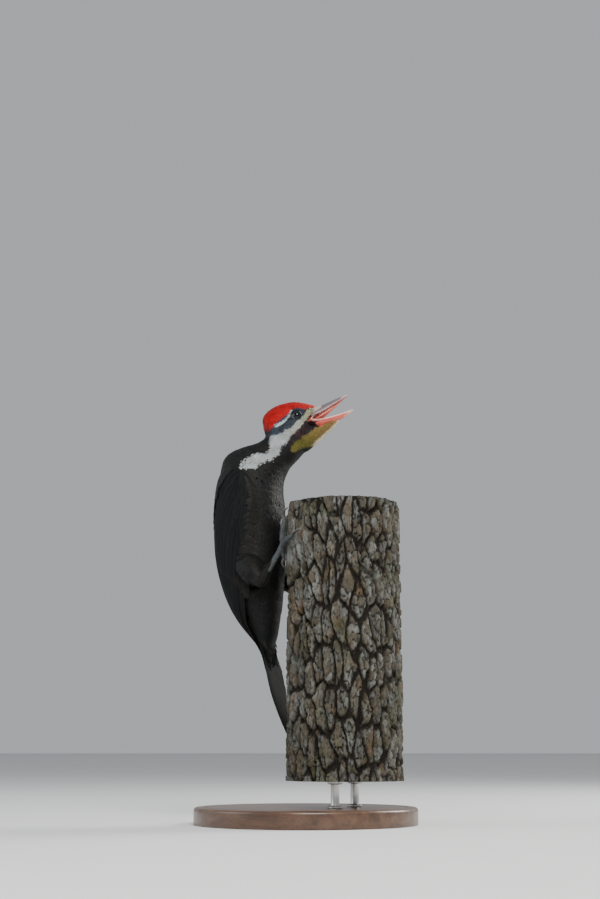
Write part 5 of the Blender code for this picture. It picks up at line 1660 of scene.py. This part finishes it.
def vane(path, up, left, right, thick, camber, shaft=0.35, ragged=0.0, r=None):
    """A flight feather as a closed thin blade (m, 14, 3) with its raised shaft."""
    ahead = unit(np.gradient(path, axis=0))
    side = unit(np.cross(ahead, up))
    up = np.cross(side, ahead)
    y = SECTION[None]
    m = len(path)
    wide = np.where(y < 0, left[:, None], right[:, None])
    if ragged:
        notch = 1 - ragged * np.clip(r.normal(0, 1, (m, 1)), -0.5, 1.5) * (np.abs(y) > 0.8)
        wide = wide * notch
    top = np.arange(len(SECTION)) < 9
    rise = -camber * (y * wide) ** 2 + np.where(top[None], thick * (0.5 + 0.5 * np.cos(y * np.pi / 2)), 0.0)
    rise = rise + np.where(top[None] & (np.abs(y) < 0.1), shaft * np.linspace(1, 0.35, m)[:, None], 0.0)
    grid = path[:, None] + side[:, None] * (y * wide)[..., None] + up[:, None] * rise[..., None]
    s = np.concatenate(([0], np.cumsum(np.linalg.norm(np.diff(path, axis=0), axis=1))))
    return grid, np.stack((s[:, None] + 0 * y, y + 0 * s[:, None]), -1)


class Vanes:
    def __init__(self):
        self.grids, self.tints, self.vanes = [], [], []

    def add(self, grid, local, tint):
        self.grids.append(grid)
        self.vanes.append(local)
        self.tints.append(tint)

    def make(self, name, material, slot, *nodes):
        co, quads, tris, tint, local, uv, at = [], [], [], [], [], [], 0
        total = sum(g.shape[0] for g in self.grids)
        n = len(self.grids)
        cols = max(1, int(math.ceil(math.sqrt(n * 4))))
        rows = int(math.ceil(n / cols))
        for i, (g, v, c) in enumerate(zip(self.grids, self.vanes, self.tints)):
            m, k = g.shape[:2]
            q, t = tube_faces(m, k, at)
            co.append(np.concatenate((g.reshape(-1, 3), g[0].mean(0)[None], g[-1].mean(0)[None])))
            tint.append(np.concatenate((c.reshape(-1, 3), c[0].mean(0)[None], c[-1].mean(0)[None])))
            local.append(np.concatenate((v.reshape(-1, 2), v[0].mean(0)[None], v[-1].mean(0)[None])))
            # its own strip of the map, the upper side in one half and the lower in the other
            top = (np.arange(k) < 9)[None] & np.ones((m, 1), bool)
            y = v[..., 1]
            across = np.where(top, 0.02 + 0.30 * (y + 1), 0.66 + 0.15 * (1 - y))
            along = v[..., 0] / max(v[..., 0].max(), 1e-6)
            cell = np.stack(((i % cols + 0.04 + 0.92 * across) / cols, (i // cols + 0.03 + 0.94 * along) / rows), -1)
            uv.append(np.concatenate((cell.reshape(-1, 2), cell[0].mean(0)[None], cell[-1].mean(0)[None])))
            quads.append(q)
            tris.append(t)
            at += m * k + 2
        obj = new_mesh(name, np.concatenate(co), np.concatenate(quads), np.concatenate(tris), np.concatenate(tint), np.concatenate(uv), np.concatenate(local), sharp=50)
        told(f"{name}: {n} feathers, {len(obj.data.polygons)} faces")
        return piece(obj, material, slot, *nodes)


def over_tail(place, off, share):
    """Draws places in towards the tail's sheet, off from it towards the back (minus) or the log (plus)."""
    s = np.clip((TAIL_ROOT[1] - place[..., 2]) / (TAIL_ROOT[1] - TAIL_TIP[1]), 0, 1)
    # each pair of tail feathers lies a step lower than the one before
    spread = TAIL_SPREAD * (0.10 + 0.90 * np.minimum(s / 0.62, 1.0))
    step = np.clip(5 * np.abs(place[..., 1]) / spread, 0, 5) * (1 - 0.35 * s) * smoothstep(0.0, 0.10, s)
    sheet = BODY_X + tail_axis(s)[0] + 0.0075 * place[..., 1] ** 2 + off + np.where(np.asarray(off) < 0, 0.34 * step, 0.0)
    place = place.copy()
    place[..., 0] += (sheet - place[..., 0]) * share
    return place


def wing_laid(t, f, side, out):
    """The folded wing's surface, its tip lying in against the rump."""
    row = rows_at(WING_ROWS, t)
    at, dorsal, ventral = row[..., 0], row[..., 1], row[..., 2]
    close = body(at, side * np.radians(dorsal + (ventral - dorsal) * f), 0.5 + 0.8 * out)
    b = (0.95 * smoothstep(8.4, 11.8, t + 0 * f))[..., None]
    place = wing_at(t, f, side, out) * (1 - b) + close * b
    return over_tail(place, -2.8 - 0.9 * out, 0.92 * smoothstep(177, 148, place[..., 2]))


def wing_frame(t, f, side, out):
    p = wing_laid(t, f, side, out)
    e = 0.02
    a = wing_laid(t + e, f, side, out) - wing_laid(t - e, f, side, out)
    b = wing_laid(t, np.clip(f + e, 0, 1), side, out) - wing_laid(t, np.clip(f - e, 0, 1), side, out)
    n = unit(np.cross(a, b))
    outward_ = p - wing_laid(t, f, side, -1.0)
    return p, n * np.sign((n * outward_).sum(-1, keepdims=True))


def feather_tint(grid, local, r, base, edge_tone, tip_tone):
    m = grid.shape[0]
    y = np.abs(local[..., 1])
    along = local[..., 0] / max(local[..., 0].max(), 1e-6)
    c = mix(base, edge_tone, smoothstep(0.72, 1.0, y) * 0.8)
    c = mix(c, tip_tone, smoothstep(0.85, 1.0, along) * 0.7)
    c = mix(c, np.array(base) * 2.6, np.exp(-(y / 0.07) ** 2) * 0.5)
    return c * r.uniform(0.85, 1.2)


def make_wing(word, side):
    r = np.random.default_rng(300 + side)
    flight, coverts = Vanes(), Vanes()
    base, edge_tone, tip_tone = (0.0058, 0.0063, 0.0068), (0.012, 0.011, 0.010), (0.019, 0.016, 0.013)

    def one(into, t0, t1, f0, f1, half, out0, out1, m, pointed, ragged=0.05, thick=0.32, camber=0.014, shaft=0.22, power=1.0, white=0.0, blunt=0.5):
        s = np.linspace(0, 1, m) ** 0.92
        t = t0 + (t1 - t0) * s
        f = f0 + (f1 - f0) * s ** power
        out = out0 + (out1 - out0) * smoothstep(0.0, 0.35, s)
        p, n = wing_frame(t, np.clip(f, 0.0, 1.0), side, out)
        shape = np.clip((1 - s) / pointed, 0, 1) ** blunt * (0.55 + 0.45 * smoothstep(0, 0.25, s))
        shape = np.maximum(shape, 0.03)
        jitter = 1 + 0.04 * np.sin(s * 9 + r.random() * 6)
        grid, local = vane(p, n, half * shape * jitter, half * shape * jitter, thick, camber, shaft, ragged, r)
        tint = feather_tint(grid, local, r, base, edge_tone, tip_tone)
        if white:
            outer = (local[..., 1] * white > 0.05) & (local[..., 0] / local[..., 0].max() < 0.22)
            tint = np.where(outer[..., None], np.array((0.55, 0.54, 0.50)), tint)
        into.add(grid, local, tint)

    # primaries, from the leading edge inwards
    tips = (10.3, 11.1, 11.65, 11.95, 12.0, 11.85, 11.5, 11.1, 10.7, 10.3)
    for i, tip in enumerate(tips):
        g = i / (len(tips) - 1)
        one(flight, 5.0, tip, 0.965 - 0.19 * g, 0.88 - 0.56 * g, 4.9, 0.24 + 0.14 * g, 0.30 + 0.26 * g, 36, 0.20, power=1.2, camber=0.006)
    # secondaries, lying over them towards the back
    for i in range(9):
        g = i / 8
        one(flight, 4.8, 10.4 - 0.9 * g + r.normal(0, 0.05), 0.80 - 0.62 * g, 0.64 - 0.50 * g, 5.6, 0.46 + 0.10 * g, 0.58 + 0.18 * g, 30, 0.17, camber=0.008, blunt=0.5)
    for i in range(3):
        g = i / 2
        one(flight, 4.0, 9.6 - 1.1 * g, 0.27 - 0.15 * g, 0.20 - 0.10 * g, 6.2, 0.58 + 0.08 * g, 0.78 + 0.06 * g, 26, 0.2, camber=0.010, blunt=0.5)
    # primary coverts and the alula at the leading edge
    for i in range(6):
        g = i / 5
        one(coverts, 4.2, 6.9 - 0.3 * g, 0.975 - 0.20 * g, 0.955 - 0.20 * g, 3.4, 0.42, 0.56 + 0.1 * g, 14, 0.3, blunt=0.6, thick=0.2)
    for i in range(3):
        one(coverts, 2.9, 5.5 - 0.5 * i, 0.985 - 0.035 * i, 0.965 - 0.035 * i, 3.0, 0.5, 0.72 + 0.04 * i, 14, 0.3, blunt=0.6, thick=0.2)
    # greater, median and lesser coverts in rows that run a little aslant
    for i in range(12):
        g = i / 11
        one(coverts, 3.7, 6.75 - 1.15 * g + r.normal(0, 0.05), 0.93 - 0.84 * g, 0.90 - 0.82 * g, 4.4, 0.56, 0.76, 18, 0.3, blunt=0.5, camber=0.016, thick=0.2)
    rows = ((3.0, 4.95, 12, 3.8), (2.35, 4.15, 12, 3.4), (1.75, 3.4, 12, 3.1), (1.2, 2.7, 11, 2.9), (0.72, 2.05, 9, 2.7), (0.35, 1.5, 6, 2.5), (0.08, 1.0, 4, 2.2))
    for j, (t0, t1, count, half) in enumerate(rows):
        for i in range(count):
            g = (i + 0.5 * (j % 2)) / max(count - 0.5, 1)
            f = 0.97 - 0.93 * g
            lift = 0.76 + 0.09 * (j + 1) / len(rows)
            one(coverts, t0 + r.normal(0, 0.06), t1 + 0.15 - 0.45 * g + r.normal(0, 0.08), f + r.normal(0, 0.006), f - 0.01 + r.normal(0, 0.008), half * r.uniform(0.92, 1.1), 0.54,
                lift + r.uniform(-0.02, 0.05), 13, 0.42, blunt=0.55, thick=0.2, camber=0.026, shaft=0.10)
    flight.make(f"wing_{word}_flight", "flight", "body_plumage", f"wing_{word}")
    coverts.make(f"wing_{word}_coverts", "flight", "body_plumage")


def scapulars(form):
    """Loose feathers from the shoulder that lie over the wing's upper edge, and the breast side over its front edge."""
    for word, side in (("left", 1), ("right", -1)):
        r = np.random.default_rng(500 + side)
        c = Coat()
        for t0, t1, f0, f1, fc, n, drift in ((0.0, 4.3, -0.10, 0.26, -0.06, 400, 0.03), (0.1, 5.2, 0.95, 1.10, 1.12, 330, -0.02), (4.6, 7.0, 1.0, 1.10, 1.12, 110, -0.02)):
            t, f = r.uniform(t0, t1, n), r.uniform(f0, f1, n)
            end = t0 + (t1 - t0) * (1 - 0.6 * ((f - fc) / (f1 - f0)) ** 2) + r.normal(0, 0.12, n)
            t, f = t[t < end], f[t < end]
            n = len(t)
            k = np.repeat(np.arange(n), 5)
            L = r.uniform(8.5, 12.5, n)[k] * r.uniform(0.9, 1.08, n * 5)
            T = t[k][:, None] + FS[None] * L[:, None] / 21.0
            F = f[k][:, None] + FS[None] * drift + FS[None] * (np.tile(np.linspace(-1, 1, 5), n) * 0.05 + r.normal(0, 0.012, n * 5) + r.normal(0, 0.03, n)[k])[:, None]
            layer = r.uniform(0.0, 0.75, n)[k]
            inside = smoothstep(-0.14, 0.04, F) * smoothstep(1.14, 0.97, F)
            p, up = wing_frame(T, np.clip(F, 0.01, 0.99), side, np.full(T.shape, 1.0))
            row = rows_at(WING_ROWS, T)
            deg = row[..., 1] + (row[..., 2] - row[..., 1]) * F
            low = body(row[..., 0], side * np.radians(deg), 0.3, wing=True)
            line = low + (p - body(row[..., 0], side * np.radians(row[..., 1] + (row[..., 2] - row[..., 1]) * np.clip(F, 0.01, 0.99)), 0.3, wing=True)) * inside[..., None]
            rise = (-1.6 * (1 - smoothstep(0, 0.5, FS)) + 0.1)[None] + layer[:, None] * FS[None] ** 1.6
            line = line + up * rise[..., None]
            H = 1.1 * np.array([0.8, 1.0, 0.72])[None] * r.uniform(0.85, 1.15, (n * 5, 1))
            tone = mix(BLACK, BLACK_BROWN, cloud(line[:, 0] / 6.0))
            uv = np.stack((0.02 + 0.96 * (f[k] + 0.15) / 1.3, 0.02 + 0.96 * t[k] / 6.6), -1)
            c.add(line, up, H, H * 0.25, shaded(np.repeat(tone[:, None], 3, 1), r, k, 0.16), uv)
        c.make(f"coat_shoulder_{word}", "plumage", "body_plumage")


def linings():
    """Feathers that fill in between the rump and the tips of the folded wings."""
    for word, side in (("left", 1), ("right", -1)):
        r = np.random.default_rng(700 + side)
        c = Coat()
        n = 420
        t, f = r.uniform(7.4, 11.2, n), r.uniform(-0.12, 0.93, n)
        end = np.interp(f, (0.3, 0.63, 0.75, 0.88, 0.97), (11.4, 11.6, 11.2, 10.2, 9.7)) - 0.25
        t, f = t[t < end - 0.35], f[t < end - 0.35]
        n = len(t)
        k = np.repeat(np.arange(n), 4)
        L = r.uniform(7.0, 11.5, n)[k] * r.uniform(0.9, 1.08, n * 4)
        limit = (np.interp(f, (0.3, 0.63, 0.75, 0.88, 0.97), (11.4, 11.6, 11.2, 10.2, 9.7)) - 0.25)[k][:, None]
        T = np.minimum(t[k][:, None] + FS[None] * L[:, None] / 21.0, limit + 0.02 * FS[None])
        F = f[k][:, None] + FS[None] * (np.tile(np.linspace(-1, 1, 4), n) * 0.04 + r.normal(0, 0.012, n * 4))[:, None]
        row = rows_at(WING_ROWS, T)
        deg = row[..., 1] + (row[..., 2] - row[..., 1]) * F
        low = body(row[..., 0], side * np.radians(deg), -0.5)
        _, up = wing_frame(T, np.clip(F, 0.01, 0.99), side, np.full(T.shape, 0.3))
        top = wing_laid(T, F, side, 0.0)
        line = low + (top - low) * smoothstep(0.0, 0.9, FS)[None, :, None]
        H = 1.3 * np.array([0.8, 1.0, 0.72])[None] * r.uniform(0.85, 1.15, (n * 4, 1))
        tone = mix(BLACK, BLACK_BROWN, cloud(line[:, 0] / 6.0))
        uv = np.stack((0.02 + 0.96 * (f[k] + 0.14) / 1.1, 0.02 + 0.96 * (t[k] - 7.4) / 3.9), -1)
        c.add(line, up, H, H * 0.25, shaded(np.repeat(tone[:, None], 3, 1), r, k, 0.16), uv)
        c.make(f"coat_rump_{word}", "plumage", "body_plumage")


def tail_axis(s):
    p = TAIL_ROOT[0] + (TAIL_TIP[0] - TAIL_ROOT[0]) * s - TAIL_BOW * np.sin(np.pi * s) * (1 - 0.35 * s)
    return p, TAIL_ROOT[1] + (TAIL_TIP[1] - TAIL_ROOT[1]) * s


def make_tail():
    r = np.random.default_rng(41)
    tail = Vanes()
    for i in range(5, -1, -1):
        for side in (1, -1):
            tip = TAIL_PAIRS[i] * 0.997
            s = tip * np.linspace(0.0, 1, 46) ** 0.9
            p, z = tail_axis(s)
            lateral = TAIL_SPREAD * (max(i, 0.32) / 5) * (0.10 + 0.90 * np.minimum(s / 0.62, 1.0))
            y = side * lateral
            arch = 0.0075 * y * y * (1 - 0.25 * s)
            # the middle pair is outermost on the upper side, each next one nearer the log
            layer = -0.55 + 0.42 * i * (1 - 0.35 * s)
            path = posed(p + arch + layer, y, z, 0, 0)
            slope = 2 * 0.0075 * y * (1 - 0.25 * s)
            up = unit(np.stack((-np.ones_like(s), slope, 0 * s), -1))
            width = VANE_HALF * np.minimum(1.0, np.maximum((tip - s) / 0.15, 0)) ** 0.75 * (0.42 + 0.58 * np.minimum(s / 0.3, 1.0))
            width = np.maximum(width, 0.35) * (0.92 if i else 0.86)
            grid, local = vane(path, up, width, width, 0.42, 0.006, 0.65 * (1 - 0.5 * (i > 3)), 0.045, r)
            tint = feather_tint(grid, local, r, (0.0095, 0.0098, 0.010), (0.017, 0.016, 0.014), (0.045, 0.036, 0.026))
            tail.add(grid, local, tint)
    tail.make("tail_feathers", "flight", "body_plumage", "tail")


# =====================================================================================
# put together
# =====================================================================================
make_stand()
make_log()
make_bill()
make_eyes()
form = make_form()
told("form")
tubes = make_feet()
make_skin(tubes)
coat_of_body(form)
coat_of_chin(form)
coat_of_jaw()
coat_of_thighs(form)
for word, side in (("left", 1), ("right", -1)):
    make_wing(word, side)
scapulars(form)
linings()
make_tail()

# ---- stage, light and camera ----------------------------------------------------------
a = np.linspace(0, 2 * np.pi, 96, endpoint=False)[None]
rad = np.array([2.0, 120, 400, 1200, 3500, 9000, 20000.0])[:, None]
ground = np.stack((rad * np.cos(a), rad * np.sin(a), np.full((7, 96), -0.02)), -1)
under = ground[::-1] + (0, 0, -4.0)
floor = closed_tube("studio_floor", np.concatenate((ground, under)))
floor.data.materials.append(floor_material())

world = bpy.data.worlds.new("studio")
bpy.context.scene.world = world
world.use_nodes = True
world.node_tree.nodes["Background"].inputs[0].default_value = (0.80, 0.83, 0.86, 1.0)
world.node_tree.nodes["Background"].inputs[1].default_value = 0.55


def area_light(name, place, aim, size, energy, colour):
    data = bpy.data.lights.new(name, "AREA")
    data.shape, data.size, data.size_y, data.energy, data.color = "RECTANGLE", size[0], size[1], energy, colour
    lamp = bpy.data.objects.new(name, data)
    lamp.location = place
    lamp.rotation_euler = (Vector(aim) - Vector(place)).to_track_quat("-Z", "Y").to_euler()
    bpy.context.scene.collection.objects.link(lamp)


target = (-0.02, 0.0, 0.32)
area_light("key", (0.75, -1.15, 1.35), target, (0.8, 0.8), 36.0, (1.0, 0.97, 0.93))
area_light("fill", (-1.3, -0.9, 0.8), target, (1.2, 1.2), 11.0, (0.90, 0.95, 1.0))
area_light("rim", (0.9, 1.1, 0.9), target, (0.6, 0.9), 26.0, (1.0, 0.98, 0.94))

camera = bpy.data.objects.new("camera", bpy.data.cameras.new("camera"))
bpy.context.scene.collection.objects.link(camera)
camera.location = (0.6185, -1.3394, 0.07)
camera.rotation_euler = (math.pi / 2 + math.radians(11.0107), 0.0, math.radians(25.0))
camera.data.lens = 61.477
camera.data.sensor_width = 36.0
camera.data.clip_start, camera.data.clip_end = 0.01, 60.0
bpy.context.scene.camera = camera

told("all")
